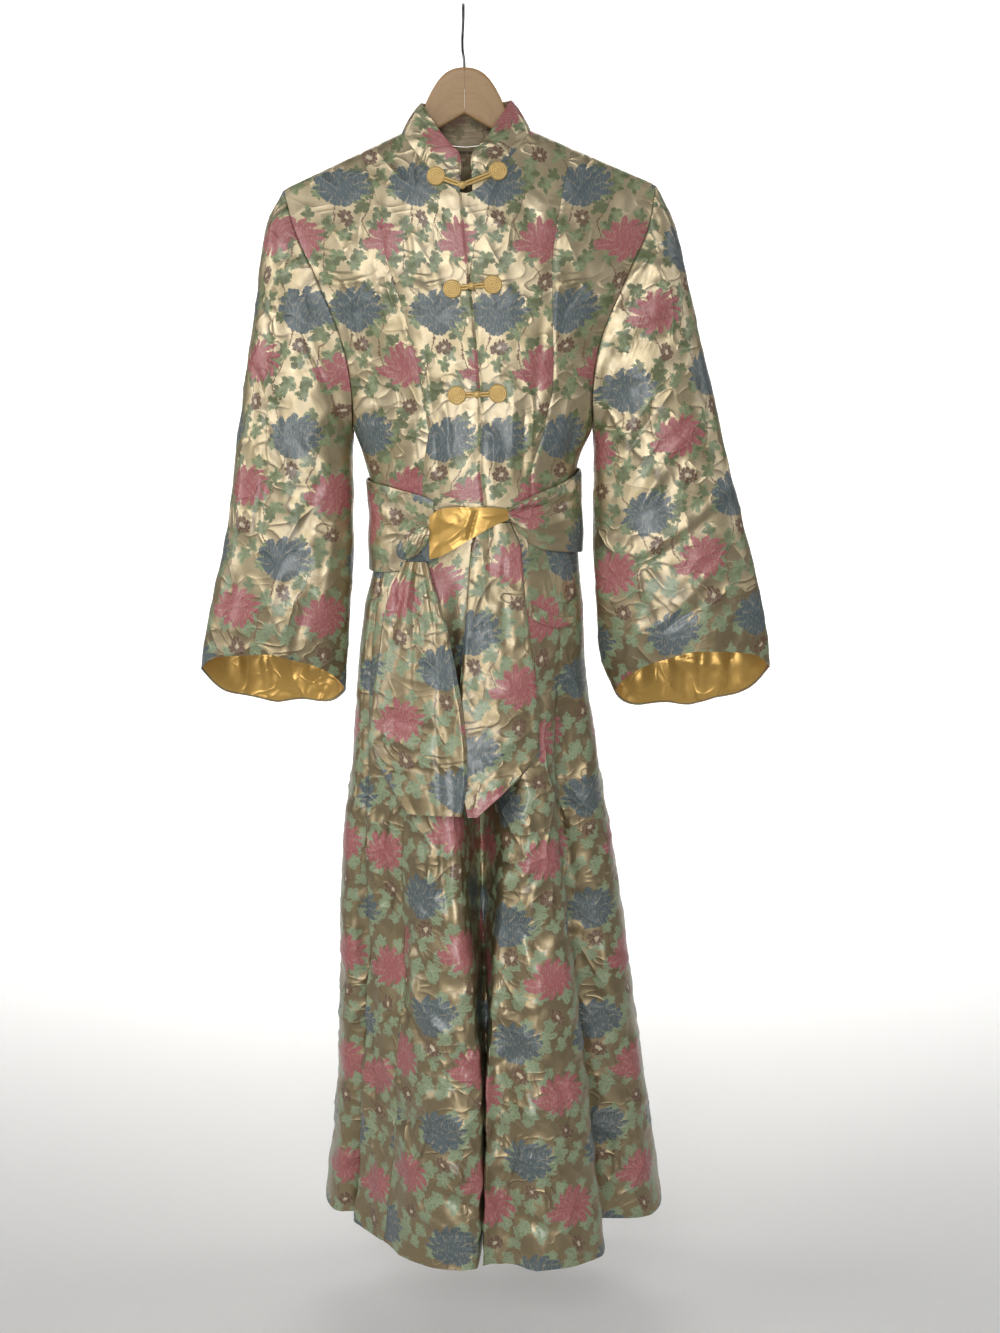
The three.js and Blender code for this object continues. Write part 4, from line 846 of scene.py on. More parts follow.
def panel_form(name):
    """A panel from its top edge to the hem: points, outward normals and the height of
    its relief. A bodice row is a share of the way from the neckline or the shoulder to
    the underarm, and a skirt row is one height."""
    top_first, top_last, side, count = PANELS[name][2:]
    width = float(panel_angle(name, 1, -1200.0) - panel_angle(name, 0, -1200.0))
    thick = [(at, (top + hem) * 0.6 / width, 5) for fold_panel, at, top, hem, *_ in SKIRT_FOLDS
             if fold_panel == name]
    if name == "front_left":
        thick.append((1.0, 0.16, 6))
    edges = [float(BODICE_SEAMS.along("up", seam, 1.0)) for seam in (top_first, top_last)]
    corners = [(NECK_X + way * NECK_HALF - edges[0]) / (edges[1] - edges[0])
               for way in (-1, 1)]
    corners = [s for s in corners if 0.01 < s < 0.99]
    shares = spaced(count, *thick, *[(s, 0.03, 3) for s in corners])
    shares = np.sort(np.r_[shares, corners])[None]

    yoke = 0.07 * (np.arange(YOKE_ROWS) / YOKE_ROWS) ** 2
    way = np.r_[yoke, np.linspace(0.07, 1, BODICE_ROWS)][:, None]
    up = 1 - way
    low = body_point(panel_angle(name, shares, UNDERARM_Z), UNDERARM_Z, False)[..., 0]
    top_x = mix(edges[0], edges[1], shares)
    in_neck = np.abs(top_x - NECK_X) < NECK_HALF - 0.01
    top_z = np.where(in_neck, neck_z(top_x, side), shoulder_z(top_x))
    even = mix(BODICE_SEAMS.along("up", top_first, 0.0),
               BODICE_SEAMS.along("up", top_last, 0.0), shares)
    x = mix(BODICE_SEAMS.along("up", top_first, up), BODICE_SEAMS.along("up", top_last, up),
            shares) + (low - even) * (1 - smooth(up * 2))
    z = mix(UNDERARM_Z, top_z, up)
    bodice = points(x, bodice_depth(x, z, side), z)
    bodice[0, ~in_neck[0], 1] = side * SEAM / 2

    heights = np.linspace(UNDERARM_Z, HEM_Z, SKIRT_ROWS)[1:, None]
    angles = panel_angle(name, shares, heights)
    skirt = body_point(angles, heights)
    flat = body_point(angles, heights, False)
    onward = np.concatenate([np.broadcast_to([-side, 0.0, 0.0], (len(way), 2, 3)),
                             unit(np.stack([flat[:, 1] - flat[:, 0],
                                            flat[:, -1] - flat[:, -2]], 1))])
    grid = np.concatenate([bodice, skirt])
    axis = points(NECK_X, BODY_RINGS.along("z", "middle", grid[:, :1, 2]), grid[:, :1, 2])
    normals = outward(grid, axis)

    height = body_relief(grid)
    to_neck = (grid[:1, :, 2] - grid[..., 2]) / 12
    height = height * np.where(in_neck, smooth(to_neck), 1)
    along = running(np.linalg.norm(np.diff(grid, axis=1), axis=-1))
    from_seam = np.minimum(along, along[:, -1:] - along)
    if "side" in name:
        arm = along if name in ("side_back_right", "side_front_left") else along[:, -1:] - along
        in_bodice = smooth((grid[..., 2] - UNDERARM_Z + 20) / 20)
        height = height * mix(1, smooth(arm / 16), in_bodice)
    pucker = 0.25 * np.sin(grid[..., 2] / 5.3 + 2 * np.sin(grid[..., 2] / 31))
    height = height - (SEAM_DIP - pucker * 0.7) * bell(from_seam, SEAM_WIDE)
    height = height - HEM_DIP * bell(grid[..., 2] - HEM_Z - HEM_DEEP, HEM_WIDE)

    grid[:, 0] += onward[:, 0] * SEAM / 2
    grid[:, -1] -= onward[:, 1] * SEAM / 2
    return grid, normals, height


def moved_in(grid, centre, distance, ring=False):
    """The same grid, moved in along its own normals."""
    return grid - outward(grid, centre, ring) * distance


def between_rings(rings, place):
    """Catmull-Rom curves through a list of rings, at places counted in rings."""
    padded = np.concatenate([rings[:1], rings, rings[-1:]])
    i = np.clip(np.floor(place).astype(int), 0, len(rings) - 2)
    t = (place - i)[:, None, None]
    p0, p1, p2, p3 = (padded[i + k] for k in range(4))
    return 0.5 * (2 * p1 + (p2 - p0) * t + (2 * p0 - 5 * p1 + 4 * p2 - p3) * t ** 2
                  + (3 * p1 - p0 - 3 * p2 + p3) * t ** 3)


def sleeve_form(side):
    """A sleeve from the armhole to the cuff. Its first ring is the armhole's seam, and
    the rest are superellipses between their outer and inner folds, whose front is
    lifted over the back. Returns the points, their places counted in rings, and the
    rings' middles."""
    out = 1 if side == "right" else -1
    turn = np.linspace(-np.pi, np.pi, SLEEVE_COLUMNS, endpoint=False)
    front = np.sin(turn) >= 0
    up = (1 + np.cos(turn)) / 2
    x = BODICE_SEAMS.along("up", "arm_" + side, up)
    top = shoulder_z(BODICE_SEAMS.along("up", "arm_" + side, 1.0))
    z = mix(UNDERARM_Z, top, up)
    armhole = points(x + out * SEAM, np.where(front, bodice_depth(x, z, -1),
                                              bodice_depth(x, z, 1)), z)
    table = SLEEVE_RINGS[side]
    column = {name: table[name][:, None] for name in RING_NAMES.split()}
    exponent = mix(SLEEVE_FLATNESS, CUFF_FLATNESS, smooth(column["ring"] / 2 - 2.5))
    across, bulge = power(np.cos(turn), 2 / exponent), power(np.sin(turn), 2 / exponent)
    mid_x = (column["outer_x"] + column["inner_x"]) / 2
    mid_z = (column["outer_z"] + column["inner_z"]) / 2
    deep = np.where(np.sin(turn)[None] > 0, column["front"], column["back"])
    rings = points(mid_x + (column["outer_x"] - mid_x) * across,
                   column["middle"] - deep * bulge,
                   mid_z + (column["outer_z"] - mid_z) * across + column["lift"] * bulge)
    place = np.r_[np.linspace(0, 1, 25)[:-1], np.linspace(1, 7, 125)]
    grid = between_rings(np.concatenate([armhole[None], rings]), place)
    sway = 3.5 * np.sin(3 * turn + 0.7) - 2.0 * np.sin(7 * turn)
    grid[..., 2] += sway * smooth((place - 6.3) / 0.7)[:, None] * np.where(front, 0.4, 1.0)
    middle = grid.mean(axis=1, keepdims=True)
    tables = (SLEEVE_CREASES[side, -1], SLEEVE_CREASES[side, 1])
    height = relief(grid, tables, middle[..., 1], 31 if out > 0 else 53)
    height = height * smooth(place / 0.5)[:, None] - bell(place, 0.06)[:, None] * 0.8
    gathers = 0.8 * np.cos(turn * 26 + 2 * np.cos(turn * 5)) * smooth((np.cos(turn) + 0.2) / 0.6)
    at_head = bell(place - 0.35, 0.3) * smooth(place / 0.2)
    height = height + gathers[None] * at_head[:, None] * 0.5
    grid = grid + outward(grid, middle, True) * height[..., None]
    return grid, place, grid.mean(axis=1, keepdims=True)


def collar_form():
    """The stand collar, from its left front end round the back to the right: each place
    of the neckline rises to the upper edge, swells outwards half way up, and is cut
    down at the two front corners along a quarter circle."""
    share = np.linspace(0, 1, 60)
    front = 1 - (1 - share) ** 2
    left = mix(COLLAR_LEFT, NECK_X - NECK_HALF, front)
    right = mix(NECK_X + NECK_HALF, COLLAR_RIGHT, share ** 2)
    back = NECK_X - NECK_HALF * np.cos(np.linspace(0, np.pi, 80))[1:-1]
    x = np.concatenate([left, back, right])
    side = np.concatenate([-np.ones(60), np.ones(78), -np.ones(60)])
    z = np.where(side < 0, neck_z(x, -1), neck_z(x, 1))
    y = np.where(side < 0, bodice_depth(x, z, -1), bodice_depth(x, z, 1))
    out = np.clip(np.abs(x - NECK_X) / NECK_HALF, 0, 1)
    to_end = np.minimum(np.abs(x - COLLAR_LEFT), np.abs(x - COLLAR_RIGHT))
    in_corner = np.where(side < 0, np.clip(COLLAR_CORNER - to_end, 0, None), 0)
    cut = COLLAR_CORNER - np.sqrt(COLLAR_CORNER ** 2 - in_corner ** 2)
    rise = COLLAR_RISE + COLLAR_EXTRA * (1 - out ** 2) - cut
    low = points(x, y, z)
    top = points(NECK_X + (x - NECK_X) * COLLAR_TOP_HALF / NECK_HALF, y * COLLAR_LEAN, z + rise)
    low = low + unit(top - low) * SEAM
    up = np.linspace(0, 1, 15)[:, None]
    away = unit(points(low[:, 0] - NECK_X, low[:, 1] * 1.6, 0))
    swell = COLLAR_SWELL * 4 * up * (1 - up)
    grid = mix(low[None], top[None], up[..., None]) + away[None] * swell[..., None]
    edge = bell(1 - up, 0.06) * 0.5
    small = crinkled(grid[..., 0] * 1.5, grid[..., 2], 71) * 0.35 * smooth(up * 3) - edge
    normals = outward(grid, points(NECK_X, 0, NECK_TOP_Z))
    return grid + normals * small[..., None]


def lying(x, z, out):
    """A place on the smooth front of the body, moved out along its normal."""
    x, z, out = np.broadcast_arrays(*(np.asarray(k, float) for k in (x, z, out)))
    x_mid, half = ring_at(z)[:2]
    sine = np.clip((x - x_mid) / half, -1, 1)
    angle = np.degrees(np.arcsin(power(sine, SQUARENESS / 2)))
    return belt_place(angle, z, out)


def belt_place(angle, z, out):
    """A place on the smooth body at an angle and a height, moved out along its
    normal."""
    angle, z, out = np.broadcast_arrays(*(np.asarray(k, float) for k in (angle, z, out)))
    round_body = body_point(angle + 0.5, z, False) - body_point(angle - 0.5, z, False)
    upward = body_point(angle, z + 0.5, False) - body_point(angle, z - 0.5, False)
    return body_point(angle, z, False) + unit(np.cross(round_body, upward)) * out[..., None]


def bumps_under(x, z):
    """How far the creased front stands out of its smooth form, where it does."""
    return np.clip(body_relief(lying(x, z, 0.0)), 0, None)


def tail_form(side, depth):
    """A hanging end of the belt: straight edges between its table's rows, lying on the
    skirt, with its own creases."""
    table = TAILS[side]
    z = np.linspace(table["z"][0], table["z"][-1], 110)[:, None]
    order = np.argsort(table["z"])
    left, right, out = (np.interp(z, table["z"][order], table[name][order])
                        for name in ("left", "right", "out"))
    share = np.linspace(0, 1, 48)[None]
    share = mix(share, 0.5 - 0.5 * np.cos(np.pi * share), 0.7)
    x = mix(left, right, share)
    z = np.broadcast_to(z, x.shape)
    own = creased(x, z, TAIL_CREASES[side]) + crinkled(x, z, 83 if side == "left" else 89) * 0.45
    down = smooth((table["z"][0] - z) / 260)
    pleats, deep = (3.1, mix(4.2, 1.2, down)) if side == "left" else (1.6, mix(2.0, 0.8, down))
    waves = np.abs(np.cos(np.pi * (share * pleats + 0.12 * np.sin(z / 47)))) ** 0.7
    curl = TAIL_CURL[side] * (bell(1 - share, 0.1) + 0.5 * bell(share, 0.1))
    rolled = TAIL_ROLL * (bell(1 - share, 0.025) + bell(share, 0.025))
    rise = out + bumps_under(x, z) + np.clip(own, -0.8 if side == "right" else -3.5, 6)
    return lying(x, z, rise + waves * deep - rolled
                 + curl * smooth((table["z"][0] - z) / 60) + depth)


def turn_form(depth):
    """The turn of the belt, whose top and bottom edges are curves against x."""
    x = np.linspace(BELT_TURN["x"][0], BELT_TURN["x"][-1], 60)[None]
    share = np.linspace(0, 1, BELT_ROWS)[:, None]
    top, bottom, out = (BELT_TURN.along("x", name, x) for name in ("top", "bottom", "out"))
    z = mix(top, bottom, share)
    x = np.broadcast_to(x, z.shape)
    own = creased(x, z, TURN_CREASES) + crinkled(x, z, 97) * 0.25
    return lying(x, z, out + own * smooth(np.minimum(share, 1 - share) * 8 + 0.3) + depth)


def belt_form(depth):
    """The band round the waist, from one end of its angles to the other."""
    angle = np.linspace(BELT_EDGES["angle"][0], BELT_EDGES["angle"][-1], 240)[None]
    top, bottom = (BELT_EDGES.along("angle", name, angle) for name in ("top", "bottom"))
    share = np.linspace(0, 1, BELT_ROWS)[:, None]
    z = mix(top, bottom, share)
    angle = np.broadcast_to(angle, z.shape)
    base = belt_place(angle, z, BELT_CLEAR)
    front = smooth(-base[..., 1] / 25)
    own = creased(base[..., 0], z, BELT_CREASES) * front
    own += crinkled(angle * 2.3, z, 101) * 0.5
    hump = 2.6 * np.sin(np.pi * share) ** 0.5 + 1.2 * np.abs(np.sin(np.pi * (share * 2 + 0.15)))
    return belt_place(angle, z, BELT_CLEAR + np.clip(own + hump, -0.9, 8) + depth)


def seat_on_front(x, z, collar):
    """A place on the bodice's front with the direction out of it. The highest closure
    lies over the collar's seam, so it stands upright and further out."""
    step = 0.5
    across = (bodice_depth(x + step, z, -1) - bodice_depth(x - step, z, -1)) / (2 * step)
    rise = (bodice_depth(x, z + step, -1) - bodice_depth(x, z - step, -1)) / (2 * step)
    normal = unit(np.array([float(across), -1.0, 0.0 if collar else float(rise)]))
    seat = np.array([x, float(bodice_depth(x, z, -1)), z])
    return seat + normal * (COLLAR_FROG_OUT if collar else 0.0), normal


def disc_form(centre, normal, radius):
    """A flat coil of cord: height = half the cord over the coil's spiral, with
    sqrt(1 - s^2) across each turn, down over a rounded rim to the under side."""
    turn = np.linspace(0, 2 * np.pi, 60, endpoint=False)[None]
    r = np.linspace(0.02, 1, 44)[:, None] * radius
    s = 2 * ((r / COIL_PITCH - turn / (2 * np.pi)) % 1) - 1
    fade = smooth((radius - r) / 1.2)
    lift = FROG_THICK - 0.9 + 0.9 * np.sqrt(np.clip(1 - (s * 0.96) ** 2, 0, 1)) * fade
    lift = lift - 1.1 * smooth((r - radius + 1.1) / 1.1) - 0.3 * bell(r, 1.4)
    rim = np.array([0.75, 0.45, 0.15])[:, None] * (FROG_THICK - 1.6)
    lift = np.concatenate([lift, np.broadcast_to(rim, (3, 60)), np.zeros((2, 60))])
    r = np.concatenate([np.broadcast_to(r, (44, 60)),
                        np.broadcast_to(radius * np.array([[1.01], [1.01], [0.99]]), (3, 60)),
                        np.broadcast_to(radius * np.array([[0.93], [0.03]]), (2, 60))])
    right = unit(np.cross(normal, [0, 0, 1.0]))
    upward = np.cross(right, normal)
    return (centre + (r * np.cos(turn))[..., None] * right + (r * np.sin(turn))[..., None] * upward
            + lift[..., None] * normal)


def knot_form(centre, radius):
    """A woven ball: a sphere whose radius swells and sinks with the square root of
    |sin(2 turn + 2.5 tilt) sin(2 turn - 2.5 tilt)|, like strands that pass over and
    under."""
    tilt = np.linspace(0.03, np.pi - 0.03, 34)[:, None]
    turn = np.linspace(0, 2 * np.pi, 56, endpoint=False)[None]
    weave = np.abs(np.sin(2 * turn + 2.5 * tilt)) * np.abs(np.sin(2 * turn - 2.5 * tilt))
    r = radius * (0.88 + 0.15 * np.sqrt(weave))
    return centre + points(r * np.sin(tilt) * np.cos(turn), -r * np.sin(tilt) * np.sin(turn),
                           r * np.cos(tilt))


def bunch_form():
    """The knot of the belt: a lying roll, thick in its middle, whose skin has the
    pleats of gathered cloth along it."""
    along = np.linspace(-1, 1, 60)[:, None]
    turn = np.linspace(0, 2 * np.pi, 72, endpoint=False)[None]
    ends = np.array(BELT_KNOT_ENDS)
    middle, run = ends.mean(axis=0), (ends[1] - ends[0]) / 2
    bulge = (1 - np.abs(along) ** 2.6) ** 0.5
    pleat = np.abs(np.sin(3.5 * turn + 1.3 * along + 0.6 * np.sin(3 * along))) ** 0.7
    pleat = pleat + 0.25 * np.abs(np.sin(6 * turn - 2.2 * along))
    across = bulge * BELT_KNOT_WIDE * (0.7 + 0.24 * pleat) * np.cos(turn)
    deep = bulge * BELT_KNOT_DEEP * (0.6 + 0.3 * pleat) * np.sin(turn)
    square = np.array([-run[1], run[0]]) / np.hypot(*run)
    x = middle[0] + run[0] * along + square[0] * across
    z = middle[1] + run[1] * along + square[1] * across
    return lying(x, z, BELT_KNOT_OUT + deep)


def arm_form(outward_x):
    """One arm of the hanger: at each x a rounded oblong, |y / a|^n + |z / h|^n = 1,
    between its crown or shoulder curve and its straight under side, which close in a
    round tip."""
    share = spaced(120, (0.25, 0.12, 2), (1.0, 0.06, 6))[:, None]
    x = share * ARM_LENGTH
    seat = shoulder_z(JOINT_X + outward_x * x) - HANGER_DROP
    crown = ARM_CROWN.along("x", "z", x)
    top = np.where(x < 66, mix(crown, seat, smooth((x - 54) / 12)), seat)
    under = ARM_UNDER.along("x", "z", x)
    close = np.sqrt(1 - np.clip((x - ARM_LENGTH + ARM_ROUND) / ARM_ROUND, 0, 1) ** 2)
    middle, half = (top + under) / 2, (top - under) / 2 * mix(0.12, 1, close)
    turn = np.linspace(0, 2 * np.pi, 64, endpoint=False)[None]
    y = HANGER_THICKNESS / 2 * mix(0.35, 1, close) * power(np.cos(turn), 0.45)
    z = middle + half * power(np.sin(turn), 0.34)
    return points(JOINT_X + outward_x * (x + SEAM / 2), y, z)


def hook_path():
    """The wire's line: up out of the wood, leaning a little, and round the rail."""
    bend = HOOK_RADIUS + WIRE / 2
    turn = np.radians(np.linspace(-50, 200, 11))
    lean = mix(-1.6, 0, smooth(np.linspace(0, 1, 11) * 2))
    arc = points(lean, bend * np.cos(turn), -HOOK_RADIUS + bend * np.sin(turn))
    foot = [[JOINT_X, 0, -95], [JOINT_X, 0, -75], [JOINT_X - 0.4, 0, -62], [-1, 3, -51]]
    return curve_through(np.concatenate([foot, arc]), 140)

# ------------------------------------------------------------------ materials


class Nodes:
    """Adds nodes to a tree. A socket is given a number, a colour, a vector or another
    node's output."""

    def __init__(self, tree):
        self.tree = tree

    def add(self, kind, *values, **settings):
        """A node with its settings, and values for its inputs in order."""
        node = self.tree.nodes.new(kind)
        for key, value in settings.items():
            setattr(node, key, value)
        for socket, value in zip([s for s in node.inputs if s.enabled], values):
            self.feed(socket, value)
        return node

    def feed(self, socket, value):
        """Links an output to the socket, or sets its value."""
        if isinstance(value, bpy.types.NodeSocket):
            self.tree.links.new(value, socket)
        elif value is not None:
            colour = socket.type == "RGBA" and len(value) == 3
            socket.default_value = (*value, 1.0) if colour else value

    def math(self, operation, *values):
        """A Math node's output."""
        return self.add("ShaderNodeMath", *values, operation=operation).outputs[0]

    def plus(self, a, b):
        """a plus b."""
        return self.math("ADD", a, b)

    def minus(self, a, b):
        """a minus b."""
        return self.math("SUBTRACT", a, b)

    def times(self, a, b):
        """a times b."""
        return self.math("MULTIPLY", a, b)

    def length(self, x, y):
        """The square root of x times x plus y times y."""
        return self.math("SQRT", self.plus(self.times(x, x), self.times(y, y)))

    def vector(self, operation, *values):
        """A Vector Math node's vector."""
        return self.add("ShaderNodeVectorMath", *values, operation=operation).outputs[0]

    def stretched(self, vector, *by):
        """A vector with each of its parts multiplied by a number of its own."""
        return self.vector("MULTIPLY", vector, by)

    def blend(self, a, b, factor, mode="MIX"):
        """Two colours mixed."""
        node = self.tree.nodes.new("ShaderNodeMix")
        node.data_type, node.blend_type = "RGBA", mode
        for index, value in ((0, factor), (6, a), (7, b)):
            self.feed(node.inputs[index], value)
        return node.outputs[2]

    def step(self, value, low, high, at_low=0.0, at_high=1.0):
        """A smooth step from at_low to at_high as the value goes from low to high."""
        return self.add("ShaderNodeMapRange", value, low, high, at_low, at_high,
                        interpolation_type="SMOOTHSTEP").outputs[0]

    def noise(self, where, scale, detail=2.0, roughness=0.5, distortion=0.0, solid=False):
        """A Noise texture's value, over the flat cloth or through the solid."""
        node = self.add("ShaderNodeTexNoise", noise_dimensions="3D" if solid else "2D")
        for name, value in (("Vector", where), ("Scale", scale), ("Detail", detail),
                            ("Roughness", roughness), ("Distortion", distortion)):
            self.feed(node.inputs[name], value)
        return node.outputs["Fac"]

    def group(self, tree, **values):
        """A group node, with its inputs by name (an underscore stands for a space)."""
        node = self.tree.nodes.new("ShaderNodeGroup")
        node.node_tree = tree
        for name, value in values.items():
            self.feed(node.inputs[name.replace("_", " ")], value)
        return node

    def split(self, vector):
        """The x and y of a vector."""
        node = self.add("ShaderNodeSeparateXYZ", vector)
        return node.outputs[0], node.outputs[1]


def node_group(name, inputs, outputs):
    """A new node group, its helper, its inputs and its output node. Inputs and outputs
    are (name, kind) or (name, kind, value)."""
    tree = bpy.data.node_groups.new(name, "ShaderNodeTree")
    for direction, sockets in (("INPUT", inputs), ("OUTPUT", outputs)):
        for label, kind, *value in sockets:
            socket = tree.interface.new_socket(label, in_out=direction,
                                               socket_type="NodeSocket" + kind)
            if value:
                socket.default_value = value[0]
    nodes = Nodes(tree)
    start, end = nodes.add("NodeGroupInput"), nodes.add("NodeGroupOutput")
    return tree, nodes, {s.name: s for s in start.outputs if s.name}, end


def rosette_group():
    """A woven flower, repeated over the cloth. Its edge is radius * (1 - notch * (1 -
    |cos(petals * angle / 2)| ^ point)), less small saw-tooth jags."""
    tree, n, given, end = node_group(
        "Woven rosette",
        (("Cloth", "Vector"), ("Centre", "Vector"), ("Radius", "Float", 20.0),
         ("Squash", "Float", 1.0), ("Petals", "Float", 9.0), ("Notch", "Float", 0.3),
         ("Point", "Float", 0.6), ("Turn", "Float", 0.0), ("Jags", "Float", 30.0),
         ("Jag depth", "Float", 0.0), ("Lean", "Float", 0.0)),
        (("Mask", "Float"), ("Petal", "Float"), ("Ratio", "Float")))
    away = n.vector("SUBTRACT", given["Cloth"], given["Centre"])
    cells = n.vector("DIVIDE", away, (REPEAT[0], REPEAT[1], 1.0))
    local = n.vector("SUBTRACT", n.vector("FRACTION", n.vector("ADD", cells, (0.5, 0.5, 0.5))),
                     (0.5, 0.5, 0.5))
    x, y = n.split(n.vector("MULTIPLY", local, (REPEAT[0], REPEAT[1], 0.0)))
    c, s = n.math("COSINE", given["Turn"]), n.math("SINE", given["Turn"])
    u = n.plus(n.times(x, c), n.times(y, s))
    v = n.minus(n.times(y, c), n.times(x, s))
    v = n.times(v, given["Squash"])
    r = n.length(u, v)
    angle = n.plus(n.math("ARCTAN2", v, u), n.times(r, given["Lean"]))
    half = n.times(n.times(angle, given["Petals"]), 0.5)
    petal = n.math("ABSOLUTE", n.math("COSINE", half))
    dip = n.times(n.minus(1.0, n.math("POWER", petal, given["Point"])), given["Notch"])
    teeth = n.math("FRACT", n.times(n.times(angle, given["Jags"]), 1 / (2 * math.pi)))
    dip = n.plus(dip, n.times(teeth, given["Jag depth"]))
    edge = n.times(given["Radius"], n.minus(1.0, dip))
    n.feed(end.inputs["Mask"], n.step(n.minus(edge, r), -0.35, 0.35))
    n.feed(end.inputs["Petal"], petal)
    n.feed(end.inputs["Ratio"], n.math("DIVIDE", r, n.math("MAXIMUM", edge, 0.5)))
    return tree


def leaf_group():
    """Woven leaves, turned by chance, in most bricks of a lattice that fits the repeat.
    A leaf has five lobes: its edge at the angle q from its tip is its size times
    (0.52 + 0.48 |cos 2.5 q| ^ 0.8) (0.82 + 0.18 cos q) (0.93 + 0.07 |cos 7.5 q|)."""
    tree, n, given, end = node_group(
        "Woven leaves", (("Cloth", "Vector"),), (("Mask", "Float"), ("Vein", "Float")))
    wide, tall = REPEAT[0] / LEAF_ROWS[0], REPEAT[1] / LEAF_ROWS[1]
    x, y = n.split(given["Cloth"])
    y = n.math("DIVIDE", y, tall)
    row = n.math("FLOOR", y)
    x = n.plus(n.math("DIVIDE", x, wide), n.times(n.math("FLOORED_MODULO", row, 2.0), 0.5))
    brick = n.add("ShaderNodeCombineXYZ")
    n.feed(brick.inputs["X"], n.math("FLOORED_MODULO", n.math("FLOOR", x), LEAF_ROWS[0]))
    n.feed(brick.inputs["Y"], n.math("FLOORED_MODULO", row, LEAF_ROWS[1]))
    chance = n.add("ShaderNodeTexWhiteNoise", brick.outputs[0], noise_dimensions="2D")
    first, second = n.split(chance.outputs["Color"])
    size = n.times(n.plus(n.times(first, 3.0), 10.8), n.math("GREATER_THAN", second, 0.28))
    x = n.times(n.minus(n.math("FRACT", x), 0.5), wide)
    y = n.times(n.minus(n.math("FRACT", y), 0.5), tall)
    q = n.minus(n.math("ARCTAN2", y, x), n.times(chance.outputs["Value"], 2 * math.pi))
    r = n.length(x, y)
    half = n.times(n.math("FLOORED_MODULO", n.plus(q, math.pi), 2 * math.pi), 2.5)
    lobe = n.math("ABSOLUTE", n.math("SINE", half))
    teeth = n.math("ABSOLUTE", n.math("SINE", n.times(half, 3.0)))
    edge = n.times(size, n.plus(n.times(n.math("POWER", lobe, 0.8), 0.48), 0.52))
    edge = n.times(edge, n.plus(n.times(n.math("COSINE", q), 0.18), 0.82))
    edge = n.times(edge, n.plus(n.times(teeth, 0.07), 0.93))
    mask = n.step(n.minus(edge, r), 0.0, 0.5)
    vein = n.times(n.step(lobe, 0.955, 0.99), n.step(n.math(
        "DIVIDE", r, n.math("MAXIMUM", edge, 1.0)), 0.85, 0.7))
    n.feed(end.inputs["Mask"], mask)
    n.feed(end.inputs["Vein"], n.times(vein, mask))
    return tree


